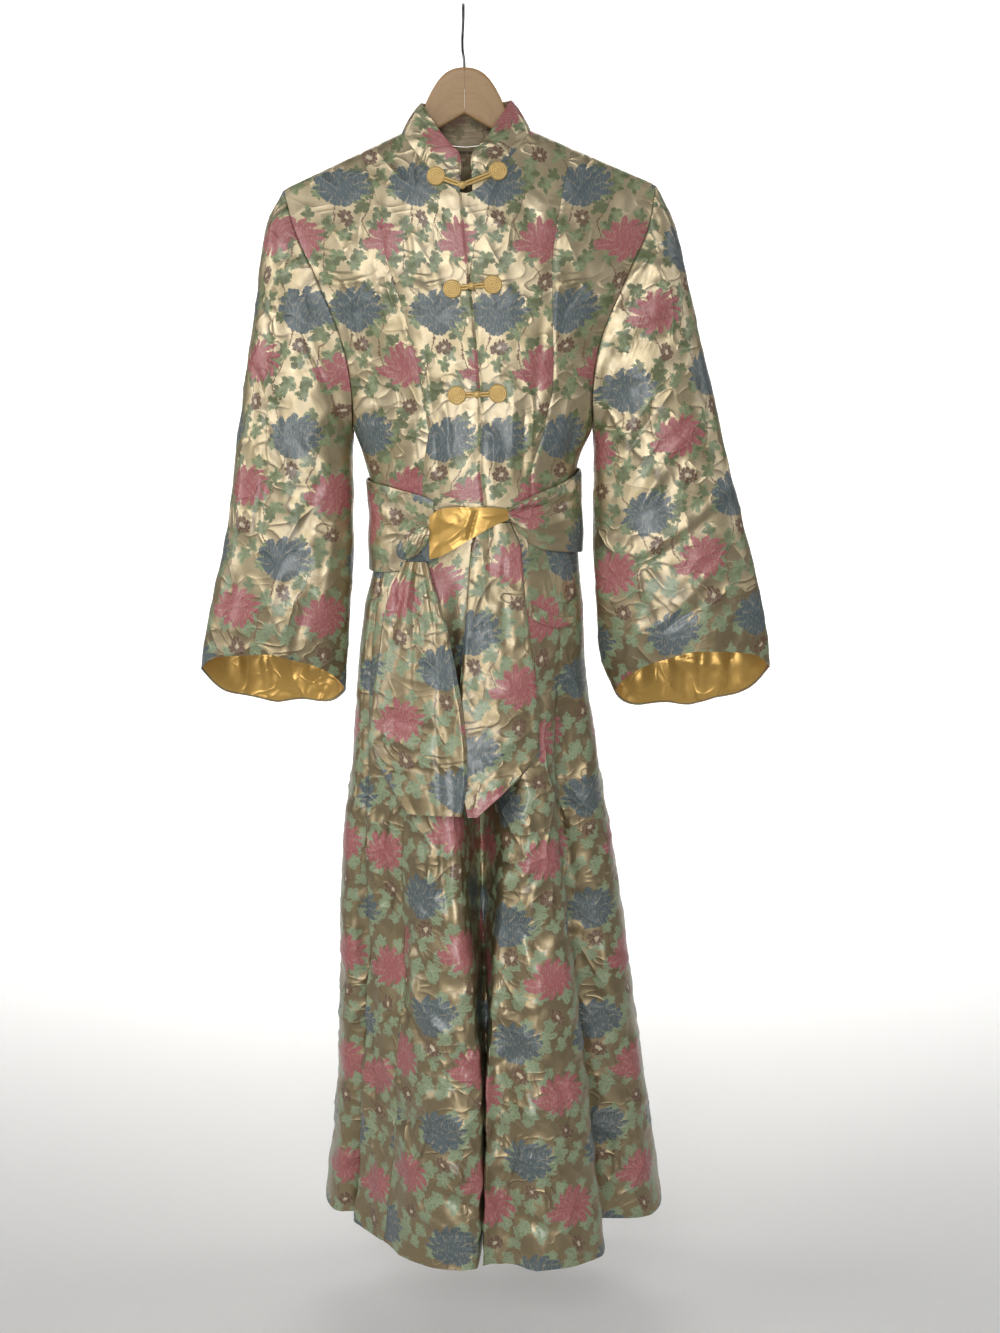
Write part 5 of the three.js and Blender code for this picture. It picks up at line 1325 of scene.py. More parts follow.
def brocade_group():
    """The woven pattern: big blue and rose flowers, small brown ones, leaves and stems,
    in a repeat of 114 x 152 mm measured from the middle of a blue flower. Its cloth
    places are warped by noise, so that edges wander as woven ones do."""
    colours = bpy.context.scene.robe_colours
    tree, n, given, end = node_group(
        "Brocade", (("Cloth", "Vector"), ("Lower", "Float")),
        (("Colour", "Color"), ("Motif", "Float")))
    flower = rosette_group()
    cloth = n.stretched(given["Cloth"], 1000.0, 1000.0, 0.0)
    slow, fine = (n.noise(cloth, scale, 0.0).node for scale in (0.055, 0.45))
    warp = n.vector("MULTIPLY", n.vector("SUBTRACT", slow.outputs["Color"], (0.5, 0.5, 0.5)),
                    (8.0, 8.0, 0.0))
    warp = n.vector("ADD", warp, n.vector("MULTIPLY", n.vector(
        "SUBTRACT", fine.outputs["Color"], (0.5, 0.5, 0.5)), (2.6, 2.6, 0.0)))
    place_at = n.vector("ADD", cloth, warp)

    def bloom(x, y, radius, petals, notch, point=0.6, squash=1.0, turn=0.0, jags=31, jag=0.0,
              lean=0.0):
        node = n.group(flower, Cloth=place_at, Centre=(x, y, 0.0), Radius=radius, Squash=squash,
                       Petals=petals, Notch=notch, Point=point, Turn=turn, Jags=jags,
                       Jag_depth=jag, Lean=lean)
        return node.outputs["Mask"], node.outputs["Petal"], node.outputs["Ratio"]

    def over(colour, motif, masks, paint):
        """Paints over the colour where any of the masks is 1."""
        mask = masks[0]
        for other in masks[1:]:
            mask = n.math("MAXIMUM", mask, other)
        return n.blend(colour, paint, mask), n.math("MAXIMUM", motif, mask)

    u, v = n.split(place_at)
    threads = n.noise(n.stretched(cloth, 0.25, 3.0, 0.0), 1.0, 1.0)
    mottle = n.noise(cloth, 0.02, 1.0)
    ground = n.blend(colours.satin_shade, colours.satin, n.step(mottle, 0.3, 0.7))
    # painted shade: the ground is blended towards a darker brown down the skirt (the Lower input),
    # standing in for the light falling off
    ground = n.blend(ground, colours.satin_painted_shade, n.times(given["Lower"], 0.85))
    colour, motif = ground, 0.0
    streaks = n.stretched(cloth, 0.5, 0.16, 0.0)

    # stems: thin lines that wander up the cloth, with one more between
    stems = []
    for shift, sway, phase, thick in ((38.0, 15.0, 0.4, 0.8), (-20.0, 11.0, 2.6, 0.7)):
        wave = n.math("SINE", n.plus(n.times(v, 2 * math.pi / REPEAT[1]), phase))
        off = n.minus(u, n.plus(n.times(wave, sway), shift))
        off = n.minus(n.math("FRACT", n.plus(n.math("DIVIDE", off, REPEAT[0]), 0.5)), 0.5)
        stems.append(n.step(n.math("ABSOLUTE", off), (thick + 0.35) / REPEAT[0],
                            (thick - 0.35) / REPEAT[0]))
    colour, motif = over(colour, motif, stems, colours.stem)

    # leaves, with darker veins, in two lattices that fill each other's gaps
    leaves = leaf_group()
    sprays = [n.group(leaves, Cloth=n.vector("ADD", place_at, shift)).outputs
              for shift in LEAF_SHIFTS]
    veins = n.math("MAXIMUM", sprays[0]["Vein"], sprays[1]["Vein"])
    leaf = n.blend(colours.leaf, colours.leaf_light, n.step(n.noise(cloth, 0.05, 1.0), 0.4, 0.6))
    leaf = n.blend(leaf, colours.leaf_dark, n.times(veins, 0.5))
    # painted sheen: the leaves are blended paler down the skirt, standing in for light caught by
    # their threads
    paler = n.times(given["Lower"], n.step(veins, 0.0, 1.0, 0.8, 0.4))
    leaf = n.blend(leaf, colours.leaf_painted_sheen, paler)
    colour, motif = over(colour, motif, [spray["Mask"] for spray in sprays], leaf)

    def petalled(colour, motif, masks, petal, ratio, paint, light, heart, heart_size):
        """A flower with pale lines between the ends of its petals, faint streaks and a
        heart."""
        split = n.times(n.step(petal, 0.2, 0.04), n.step(ratio, 0.45, 0.8))
        streak = n.times(n.step(n.noise(streaks, 1.0, 1.0), 0.5, 0.66), 0.18)
        tint = n.blend(paint, light, streak)
        tint = n.blend(tint, light, n.times(split, 0.4))
        tint = n.blend(tint, heart, n.step(ratio, heart_size + 0.05, heart_size - 0.05))
        return over(colour, motif, masks, tint)

    # brown daisies
    for x, y, radius, turn in ((3, -41, 10.5, 0.2), (59, -116, 10.5, 0.6)):
        mask, petal, ratio = bloom(x, y, radius, 9, 0.34, 0.5, 1.0, turn)
        colour, motif = petalled(colour, motif, [mask], petal, ratio, colours.brown,
                                 colours.outline, colours.outline, 0.28)

    # rose flowers, with a curled petal at their left
    mask, petal, ratio = bloom(57, -66, 33, 13, 0.42, 0.7, 1.2, 0.25, 39, 0.05, 0.014)
    curl = bloom(32, -74, 15, 5, 0.4, 0.5, 1.7, -0.3, 15, 0.08, 0.05)
    colour, motif = petalled(colour, motif, [mask, curl[0]], petal, ratio, colours.rose,
                             colours.outline, colours.rose, 0.1)

    # blue flowers: a round body, and flared petals above and to the right
    mask, petal, ratio = bloom(0, -4, 26, 9, 0.12, 0.5, 1.1, 0.1, 27, 0.04)
    crown = bloom(-1, 7, 35, 11, 0.52, 0.6, 1.65, 0.3, 33, 0.06, 0.01)
    flare = bloom(15, 0, 26, 9, 0.6, 0.7, 1.25, 0.5, 27, 0.08, -0.012)
    colour, motif = petalled(colour, motif, [crown[0], flare[0]], crown[1], crown[2],
                             colours.blue, colours.outline, colours.blue, 0.1)
    colour, motif = petalled(colour, motif, [mask], petal, ratio, colours.blue,
                             colours.outline, colours.blue, 0.1)

    speck = n.step(n.noise(n.stretched(cloth, 1.0, 0.5, 0.0), 1.3, 1.0), 0.45, 0.62,
                   0.82, 1.0)
    dim = n.plus(n.times(n.minus(speck, 1.0), motif), 1.0)
    shade = n.times(dim, n.step(threads, 0.3, 0.7, 0.94, 1.04))
    scaled = n.vector("SCALE", colour)
    n.feed(scaled.node.inputs["Scale"], shade)
    n.feed(end.inputs["Colour"], scaled)
    n.feed(end.inputs["Motif"], motif)
    return tree


def shared(name):
    """One of the two shared groups, made the first time that it is asked for."""
    makers = {"Brocade": brocade_group, "Small creases": crease_group}
    return bpy.data.node_groups.get(name) or makers[name]()


def new_material(name):
    """A material with its helper and its shader."""
    material = bpy.data.materials.new(name)
    material.use_nodes = True
    tree = material.node_tree
    tree.nodes.clear()
    nodes = Nodes(tree)
    shader = nodes.add("ShaderNodeBsdfPrincipled")
    out = nodes.add("ShaderNodeOutputMaterial")
    tree.links.new(shader.outputs[0], out.inputs["Surface"])
    return material, nodes, shader


def shine(shader, **values):
    """Sets a shader's constant values by name."""
    for name, value in values.items():
        shader.inputs[name.replace("_", " ")].default_value = value


def cloth_place(nodes):
    """The flat cloth places in metres."""
    return nodes.add("ShaderNodeUVMap", uv_map="cloth").outputs[0]


def bump(nodes, shader, height, distance, strength=1.0):
    """Feeds a height into the shader's normal."""
    node = nodes.add("ShaderNodeBump")
    nodes.feed(node.inputs["Height"], height)
    node.inputs["Distance"].default_value = distance
    node.inputs["Strength"].default_value = strength
    nodes.feed(shader.inputs["Normal"], node.outputs[0])


def crease_group():
    """Small sharp creases of satin as a height in millimetres: noise folded at its
    middle value, (1 - |2 n - 1|) ^ 6, in two sizes, in some places more than others."""
    tree, n, given, end = node_group(
        "Small creases", (("Cloth", "Vector"), ("Depth", "Float", 1.0)), (("Height", "Float"),))
    crests = []
    for scale, stretch, height in ((15.0, (1.0, 0.6, 1.0), 3.0), (42.0, (0.7, 1.0, 1.0), 1.1)):
        where = n.vector("MULTIPLY", given["Cloth"], stretch)
        fold = n.math("ABSOLUTE", n.minus(n.times(n.noise(where, scale, 0.0, 0.5, 0.5), 2.0), 1.0))
        crests.append(n.times(n.math("POWER", n.minus(1.0, fold), 6.0), height))
    patches = n.step(n.noise(given["Cloth"], 7.0, 1.0), 0.4, 0.62, 0.1, 1.0)
    total = n.times(n.plus(*crests), patches)
    n.feed(end.inputs["Height"], n.times(total, given["Depth"]))
    return tree


def painted_falloff(nodes):
    """How far down the robe a place is: 0 above the waist, and 1 from the thighs down,
    where the ground is painted darker as shade and the leaves paler as sheen."""
    place_at = nodes.add("ShaderNodeTexCoord").outputs["Object"]
    height = nodes.add("ShaderNodeSeparateXYZ", place_at).outputs["Z"]
    return nodes.step(height, PAINTED_FALLOFF_FROM_Z, PAINTED_FALLOFF_TO_Z)


def brocade_material():
    """Satin brocade: a shining ground, and flowers of duller thread that stand up."""
    material, nodes, shader = new_material("satin brocade")
    woven = nodes.group(shared("Brocade"), Cloth=cloth_place(nodes), Lower=painted_falloff(nodes))
    motif = woven.outputs["Motif"]
    shimmer = nodes.noise(nodes.stretched(cloth_place(nodes), 90.0, 30.0, 0.0), 1.0, 1.0)
    nodes.feed(shader.inputs["Base Color"], woven.outputs["Colour"])
    nodes.feed(shader.inputs["Metallic"], nodes.step(motif, 0.0, 1.0, 0.82, 0.1))
    rough = nodes.step(motif, 0.0, 1.0, 0.43, 0.5)
    nodes.feed(shader.inputs["Roughness"], nodes.plus(rough, nodes.step(
        shimmer, 0.2, 0.8, -0.04, 0.05)))
    shine(shader, IOR=1.6, Coat_Weight=0.42, Coat_Roughness=0.2)
    creases = nodes.group(shared("Small creases"), Cloth=cloth_place(nodes), Depth=1.0)
    thread = nodes.noise(nodes.stretched(cloth_place(nodes), 400.0, 1500.0, 0.0), 1.0, 0.0)
    bump(nodes, shader, nodes.plus(creases.outputs[0], nodes.times(thread, 0.06)), 0.001)
    return material


def shaded_reverse_material():
    """The wrong side of the brocade: its pattern, dull and darker, crossed by floats of
    loose thread. Its darkness is partly painted shade, for the insides of the neck and the robe."""
    colours = bpy.context.scene.robe_colours
    material, nodes, shader = new_material("brocade reverse")
    cloth = cloth_place(nodes)
    woven = nodes.group(shared("Brocade"), Cloth=cloth, Lower=painted_falloff(nodes))
    floats = nodes.noise(nodes.stretched(cloth, 60.0, 400.0, 0.0), 1.0, 1.0)
    nodes.feed(shader.inputs["Base Color"], nodes.blend(
        # painted shade in part: the pattern is blended 55 to 85 per cent towards a dark bronze,
        # which stands in for the shade inside the neck as well as the wrong side's floats
        woven.outputs["Colour"], colours.reverse, nodes.step(floats, 0.3, 0.7, 0.55, 0.85)))
    nodes.feed(shader.inputs["Roughness"], nodes.step(floats, 0.3, 0.7, 0.5, 0.62))
    shine(shader, Sheen_Weight=0.1)
    bump(nodes, shader, floats, 0.0002, 0.5)
    return material


def satin_material(name, colour, dark, roughness, metallic, depth):
    """Plain satin with long floats across the cloth and a faint, soft mottle."""
    material, nodes, shader = new_material(name)
    cloth = cloth_place(nodes)
    floats = nodes.noise(nodes.stretched(cloth, 60.0, 500.0, 0.0), 1.0, 1.0)
    cloudy = nodes.noise(cloth, 40.0, 3.0)
    tint = nodes.blend(colour, dark, nodes.step(cloudy, 0.35, 0.75, 0.0, 0.15))
    nodes.feed(shader.inputs["Base Color"], nodes.blend(tint, dark, nodes.step(
        floats, 0.45, 0.8, 0.0, 0.1)))
    nodes.feed(shader.inputs["Roughness"], nodes.step(floats, 0.2, 0.8, roughness - 0.02,
                                                      roughness + 0.04))
    shine(shader, Metallic=metallic, IOR=1.6, Sheen_Weight=0.1)
    creases = nodes.group(shared("Small creases"), Cloth=cloth, Depth=depth)
    bump(nodes, shader, nodes.plus(creases.outputs[0], nodes.times(floats, 0.012)), 0.001)
    return material


def wood_material():
    """Pale varnished wood: fine dark pores along the grain, wide soft bands, and a few
    darker knots."""
    colours = bpy.context.scene.robe_colours
    material, nodes, shader = new_material("pale varnished wood")
    cloth = cloth_place(nodes)
    bands = nodes.noise(nodes.stretched(cloth, 160.0, 6.0, 0.0), 1.0, 3.0, 0.6, 0.8)
    pores = nodes.noise(nodes.stretched(cloth, 1500.0, 60.0, 0.0), 1.0, 2.0)
    knots = nodes.add("ShaderNodeTexVoronoi", nodes.stretched(cloth, 40.0, 18.0, 0.0))
    knot = nodes.step(knots.outputs["Distance"], 0.16, 0.05)
    colour = nodes.blend(colours.wood, colours.wood_dark, nodes.step(bands, 0.4, 0.8, 0.0, 0.3))
    colour = nodes.blend(colour, colours.wood_dark, nodes.step(pores, 0.55, 0.8, 0.0, 0.3))
    colour = nodes.blend(colour, colours.wood_knot, nodes.times(knot, 0.8))
    nodes.feed(shader.inputs["Base Color"], colour)
    nodes.feed(shader.inputs["Roughness"], nodes.step(bands, 0.3, 0.7, 0.38, 0.5))
    shine(shader, Coat_Weight=0.25, Coat_Roughness=0.25)
    bump(nodes, shader, nodes.plus(bands, pores), 0.0002, 0.5)
    return material


def steel_material():
    """Dull steel wire, drawn along its length."""
    colours = bpy.context.scene.robe_colours
    material, nodes, shader = new_material("dull steel wire")
    cloth = cloth_place(nodes)
    drawn = nodes.noise(nodes.stretched(cloth, 2600.0, 40.0, 0.0), 1.0, 2.0)
    spots = nodes.noise(cloth, 120.0, 3.0)
    nodes.feed(shader.inputs["Base Color"], nodes.blend(
        colours.steel, colours.steel_dark, nodes.step(spots, 0.45, 0.7)))
    nodes.feed(shader.inputs["Roughness"], nodes.step(drawn, 0.3, 0.7, 0.28, 0.46))
    shine(shader, Metallic=1.0)
    bump(nodes, shader, drawn, 0.0001, 0.4)
    return material


def backdrop_material():
    """Plain pale paper with a faint tooth, clear when looked at from behind. It looks
    paler away from the lamps than the light on it would make it."""
    colours = bpy.context.scene.robe_stage
    material, nodes, shader = new_material("pale paper")
    place_at = nodes.add("ShaderNodeTexCoord").outputs["Object"]
    tooth = nodes.noise(place_at, 220.0, 1.0, solid=True)
    nodes.feed(shader.inputs["Base Color"], nodes.blend(
        colours.paper, tuple(0.96 * c for c in colours.paper), tooth))
    shine(shader, Roughness=0.85)
    bump(nodes, shader, tooth, 0.0002, 0.3)
    x, y = nodes.split(place_at)
    away = nodes.length(x, y)
    looked_at = nodes.add("ShaderNodeLightPath").outputs["Is Camera Ray"]
    glow = nodes.step(away, GLOW_FROM, GLOW_TO, GLOW_NEAR, GLOW_FAR)
    nodes.feed(shader.inputs["Emission Strength"], nodes.times(looked_at, glow))
    tree = material.node_tree
    either = nodes.add("ShaderNodeMixShader")
    clear = nodes.add("ShaderNodeBsdfTransparent")
    tree.links.new(nodes.add("ShaderNodeNewGeometry").outputs["Backfacing"], either.inputs[0])
    tree.links.new(shader.outputs[0], either.inputs[1])
    tree.links.new(clear.outputs[0], either.inputs[2])
    output = next(node for node in tree.nodes if node.type == "OUTPUT_MATERIAL")
    tree.links.new(either.outputs[0], output.inputs["Surface"])
    return material


def made(name):
    """One of the robe's materials, made the first time that it is asked for."""
    found = bpy.data.materials.get(name)
    if found:
        return found
    colours = bpy.context.scene.robe_colours
    makers = {
        "satin brocade": brocade_material,
        "brocade reverse": shaded_reverse_material,
        "golden satin": lambda: satin_material("golden satin", colours.gold,
                                               colours.gold_dark, 0.33, 0.5, 0.6),
        "gold cord": lambda: satin_material("gold cord", colours.cord,
                                            colours.cord_dark, 0.4, 0.3, 0.0),
        "pale varnished wood": wood_material,
        "dull steel wire": steel_material,
    }
    return makers[name]()


def cloth_sides():
    """The face of the brocade, and its wrong side, which is painted darker partly as shade."""
    return [made("satin brocade"), made("brocade reverse")]

# ------------------------------------------------------------------ sizes and colours


def amount(label, text, default, highest, **more):
    """A number from 0 up that a user can change."""
    return FloatProperty(name=label, description=text, default=default, min=0.0, max=highest,
                         **more)


def paint(label, text, *colour):
    """A colour that a user can change."""
    return FloatVectorProperty(name=label, description=text, default=colour, size=3, min=0.0,
                               max=1.0, subtype="COLOR")


class RobeCloth(PropertyGroup):
    """Thickness and creases of the cloth."""
    wall: amount("Brocade", "Thickness of the brocade with its backing", 0.0018, 0.01,
                 subtype="DISTANCE", unit="LENGTH")
    lining_wall: amount("Lining", "Thickness of the sleeves' satin lining", 0.001, 0.01,
                        subtype="DISTANCE", unit="LENGTH")
    crease_depth: amount("Main creases", "Share of each main crease's full depth", 1.0, 2.0,
                         subtype="FACTOR")
    crinkle_depth: amount("Small creases", "Height of the small creases in millimetres",
                          1.0, 4.0)


class RobeColours(PropertyGroup):
    """Colours of the threads, the cord, the wood and the wire."""
    satin: paint("Ground", "Satin ground of the brocade", 0.61, 0.505, 0.33)
    satin_shade: paint("Ground, darker", "Darker cloudiness of the ground", 0.49, 0.40, 0.24)
    blue: paint("Blue", "Threads of the big blue flowers", 0.10, 0.135, 0.145)
    rose: paint("Rose", "Threads of the big rose flowers", 0.42, 0.12, 0.125)
    brown: paint("Brown", "Threads of the small flowers", 0.16, 0.085, 0.045)
    stem: paint("Stem", "Threads of the thin stems", 0.22, 0.13, 0.07)
    # painted shade: the ground's darker brown down the skirt and the belt's ends, standing in for
    # the light falling off
    satin_painted_shade: paint("Satin, lower down", "Ground of the skirt and the belt's ends",
                     0.285, 0.22, 0.12)
    # painted sheen: the leaves' paler green down the skirt and the belt's ends, standing in for
    # light caught by their threads
    leaf_painted_sheen: paint("Leaf, lower down", "Leaves of the skirt and the belt's ends",
                    0.33, 0.40, 0.24)
    leaf: paint("Leaf", "Darker threads of the leaves", 0.16, 0.183, 0.078)
    leaf_dark: paint("Leaf veins", "Dark threads between the lobes of the leaves", 0.07, 0.08, 0.04)
    leaf_light: paint("Leaf, lighter", "Lighter threads of the leaves", 0.285, 0.335, 0.17)
    outline: paint("Outline", "Pale threads between petals", 0.66, 0.56, 0.38)
    # painted shade in part: this dark bronze of the wrong side also stands in for the shade inside
    # the neck and the robe
    reverse: paint("Reverse", "Reverse of the brocade", 0.24, 0.17, 0.085)
    gold: paint("Lining", "Golden satin of the lining", 0.66, 0.40, 0.10)
    gold_dark: paint("Lining, darker", "Shaded threads of the lining", 0.42, 0.23, 0.05)
    cord: paint("Cord", "Satin-covered cord of the closures", 0.68, 0.46, 0.16)
    cord_dark: paint("Cord, darker", "Shaded threads of the cord", 0.40, 0.25, 0.08)
    wood: paint("Wood", "Hanger's pale wood", 0.43, 0.262, 0.115)
    wood_dark: paint("Wood, darker", "Bands and pores of the wood", 0.31, 0.17, 0.078)
    wood_knot: paint("Knots", "Knots of the wood", 0.20, 0.10, 0.045)
    steel: paint("Steel", "Wire of the hook", 0.18, 0.175, 0.17)
    steel_dark: paint("Steel, darker", "Duller spots on the wire", 0.09, 0.085, 0.08)


class RobeStage(PropertyGroup):
    """Light, paper and camera."""
    key: amount("Key light", "Power of the big soft light in front", 6.1, 1000.0, unit="POWER")
    fill: amount("Fill light", "Power of the small light by the camera", 5.5, 1000.0,
                 unit="POWER")
    side: amount("Side light", "Power of each soft light at the sides", 4.2, 1000.0,
                 unit="POWER")
    back: amount("Paper light", "Power of each soft light on the paper", 14.0, 1000.0,
                 unit="POWER")
    world: amount("Room light", "Strength of the even light all round", 0.15, 5.0)
    paper: paint("Paper", "Pale paper behind and below", 0.80, 0.79, 0.77)
    lens: amount("Lens", "Focal length of the camera in millimetres", 51.956, 200.0)


# ------------------------------------------------------------------ operators


def put_sheet(piece, nodes, slot):
    """Places a sheet of cloth."""
    place(piece, nodes, slot)


class ROBE_OT_body(Operator):
    """Makes the seven panels of the body, from the shoulders to the hem"""
    bl_idname = "robe.body"
    bl_label = "Body panels"

    def execute(self, context):
        wall = context.scene.robe_cloth.wall * 1000
        for name in PANELS:
            grid, normals, height = panel_form(name)
            outer = grid + normals * height[..., None]
            panel = shell(name + "_panel", outer, outer - normals * wall,
                          panel_lengths(name, outer), cloth_sides())
            put_sheet(panel, [name], "brocade")
        return {"FINISHED"}


class ROBE_OT_sleeves(Operator):
    """Makes the two sleeves and the satin lining that shows in their cuffs"""
    bl_idname = "robe.sleeves"
    bl_label = "Sleeves"

    def execute(self, context):
        cloth_settings = context.scene.robe_cloth
        wall, lining_wall = cloth_settings.wall * 1000, cloth_settings.lining_wall * 1000
        for side in ("left", "right"):
            grid, place_down, middle = sleeve_form(side)
            normals = outward(grid, middle, True)
            flat = sleeve_lengths(grid, side) - np.array(SLEEVE_PATTERN[side], float)
            sleeve = shell("sleeve_" + side + "_cloth", grid, grid - normals * wall, flat,
                           cloth_sides(), True)
            put_sheet(sleeve, ["sleeve_" + side], "brocade")
            rows = place_down >= LINING_FROM
            skin, out = grid[rows].copy(), normals[rows]
            run = unit(skin[-2] - skin[-1])
            skin[-1] += run * CUFF_TURN
            skin[-2] = skin[-1] + run * 1.5
            sag = 2 * np.abs(creased(skin[..., 0], skin[..., 2], LINING_CREASES))
            sag = sag + 0.9 * np.clip(crinkled(skin[..., 0], skin[..., 2], 61), 0, 3)
            fade = smooth((len(skin) - 1 - np.arange(len(skin)))[:, None] / 4)
            depth = (wall + LINING_CLEAR + sag * fade)[..., None]
            flat = sleeve_lengths(skin, side)
            lining = shell("sleeve_lining_" + side + "_cloth", skin - out * depth,
                           skin - out * (depth + lining_wall), flat, [made("golden satin")], True)
            put_sheet(lining, ["sleeve_lining_" + side], "gold_satin")
        return {"FINISHED"}


class ROBE_OT_collar(Operator):
    """Makes the stand collar and the loop inside the back of the neck"""
    bl_idname = "robe.collar"
    bl_label = "Collar and loop"

    def execute(self, context):
        outer = collar_form()
        inner = moved_in(outer, points(NECK_X, 0, NECK_TOP_Z),
                         context.scene.robe_cloth.wall * 1000)
        cloth = cloth_lengths(outer, 0.5) - np.array((33.0, 20.0))
        collar = shell("collar_band", outer, inner, cloth,
                       cloth_sides())
        put_sheet(collar, ["collar"], "brocade")
        z = float(neck_z(NECK_X, 1)) - LOOP_BELOW_NECK
        y = float(bodice_depth(NECK_X, z, 1)) - LOOP_BEHIND_COLLAR - LOOP_BEHIND
        knots = points(HANG_LOOP["x"], y - HANG_LOOP["forward"], z + HANG_LOOP["rise"])
        path = curve_through(knots, 60)
        loop = closed_grid("hang_loop_cord", tube(path, LOOP_CORD / 2, (0, 0, 1), 14,
                                                  (3, 0.05, 3.2)), [made("brocade reverse")])
        place(loop, ["hang_loop"], "brocade")
        return {"FINISHED"}


class ROBE_OT_belt(Operator):
    """Makes the belt: its band, its knot, the turn through it and its two ends"""
    bl_idname = "robe.belt"
    bl_label = "Belt"

    def execute(self, context):
        wall = context.scene.robe_cloth.wall * 1000
        sides = cloth_sides()
        knot = closed_grid("belt_knot_roll", bunch_form(), [made("satin brocade")])
        place(knot, ["belt_knot"], "brocade")
        outer = belt_form(wall)
        cloth = cloth_lengths(outer, 0.5)[..., ::-1] * (1, -1) - np.array((20.0, 30.0))
        band = shell("belt_band_cloth", outer, belt_form(0), cloth, sides)
        put_sheet(band, ["belt_band"], "brocade")
        for side in ("left", "right"):
            outer = tail_form(side, wall)
            cloth = cloth_lengths(outer, 0.5) - np.array(TAIL_PATTERN[side], float)
            tail = shell("belt_tail_" + side + "_cloth", outer, tail_form(side, 0), cloth, sides)
            put_sheet(tail, ["belt_tail_" + side], "brocade")
        outer = turn_form(wall)
        turn = shell("belt_turn_cloth", outer, turn_form(0), cloth_lengths(outer, 0.5),
                     [made("golden satin")])
        put_sheet(turn, ["belt_turn"], "gold_satin")
        return {"FINISHED"}


class ROBE_OT_pocket(Operator):
    """Makes the welt of the pocket below the belt"""
    bl_idname = "robe.pocket"
    bl_label = "Pocket welt"

    def execute(self, context):
        def skin(out):
            x = np.linspace(POCKET["x"][0], POCKET["x"][-1], 50)[None]
            top, bottom = (POCKET.along("x", name, x) for name in ("top", "bottom"))
            z = mix(top, bottom, np.linspace(0, 1, 14)[:, None])
            x = np.broadcast_to(x, z.shape)
            hump = np.sin(np.pi * np.linspace(0, 1, 14))[:, None] * 0.5
            return lying(x, z, out + bumps_under(x, z) + hump)

        outer = skin(WELT_OUT)
        cloth = cloth_lengths(outer, 0.5) - np.array((60.0, 40.0))
        welt = shell("pocket_welt_cloth", outer, skin(WELT_BACK), cloth,
                     cloth_sides())
        put_sheet(welt, ["pocket_welt"], "brocade")
        return {"FINISHED"}


class ROBE_OT_frogs(Operator):
    """Makes the three frog closures: coiled discs, twin cords and woven knots"""
    bl_idname = "robe.frogs"
    bl_label = "Frog closures"

    def execute(self, context):
        material = [made("gold cord")]
        lift = FROG_OUT + CORD_LIFT
        for name, spots in FROGS.items():
            seats = [seat_on_front(x, z, name == "collar") for x, z in spots]
            knot_seat, knot_normal = seats[2]
            ball = knot_seat + knot_normal * (FROG_OUT + KNOT_RADIUS)
            node = "frog_" + name
            knot = closed_grid(node + "_ball", knot_form(ball, KNOT_RADIUS), material)
            place(knot, [node + "_knot"], "gold_cord")
            for side, (seat, normal) in zip(("left", "right"), seats):
                disc = closed_grid(node + "_coil_" + side,
                                   disc_form(seat + normal * FROG_OUT, normal, FROG_DISC / 2),
                                   material)
                place(disc, [node + "_disc_" + side], "gold_cord")
                start = seat + normal * lift
                end = knot_seat + knot_normal * (lift + 1)
                way = unit(end - start)
                across = unit(np.cross(normal, way)) * CORD_APART
                near = start + way * (FROG_DISC / 2 - CORD_IN_DISC)
                far = end - way * CORD_FROM_KNOT
                knots = [near + across, mix(near, far, 0.5) + across * 1.02, far + across,
                         far + way * 1.2 + across * 0.6, far + way * 1.5,
                         far + way * 1.2 - across * 0.6, far - across,
                         mix(near, far, 0.5) - across * 1.02, near - across]
                cord = closed_grid(node + "_cord_" + side + "_pair",
                                   tube(curve_through(knots, 90), CORD_RADIUS, normal, 14,
                                        (2, 0.05, 2.6)), material)
                place(cord, [node + "_cord_" + side], "gold_cord")
        return {"FINISHED"}


class ROBE_OT_hanger(Operator):
    """Makes the wooden hanger's two arms and its wire hook"""
    bl_idname = "robe.hanger"
    bl_label = "Hanger"

    def execute(self, context):
        for side, way in (("left", -1), ("right", 1)):
            arm = closed_grid("hanger_wood_" + side, arm_form(way),
                              [made("pale varnished wood")], sharp=40)
            place(arm, ["hanger_arm_" + side], "wood")
        path = hook_path()
        radius = np.full(len(path), WIRE / 2)
        radius[-4:] *= np.array([0.98, 0.92, 0.75, 0.4])
        wire = closed_grid("hook_wire", tube(path, radius, (1, 0, 0), 20),
                           [made("dull steel wire")])
        place(wire, ["hanger_hook"], "steel_wire")
        return {"FINISHED"}


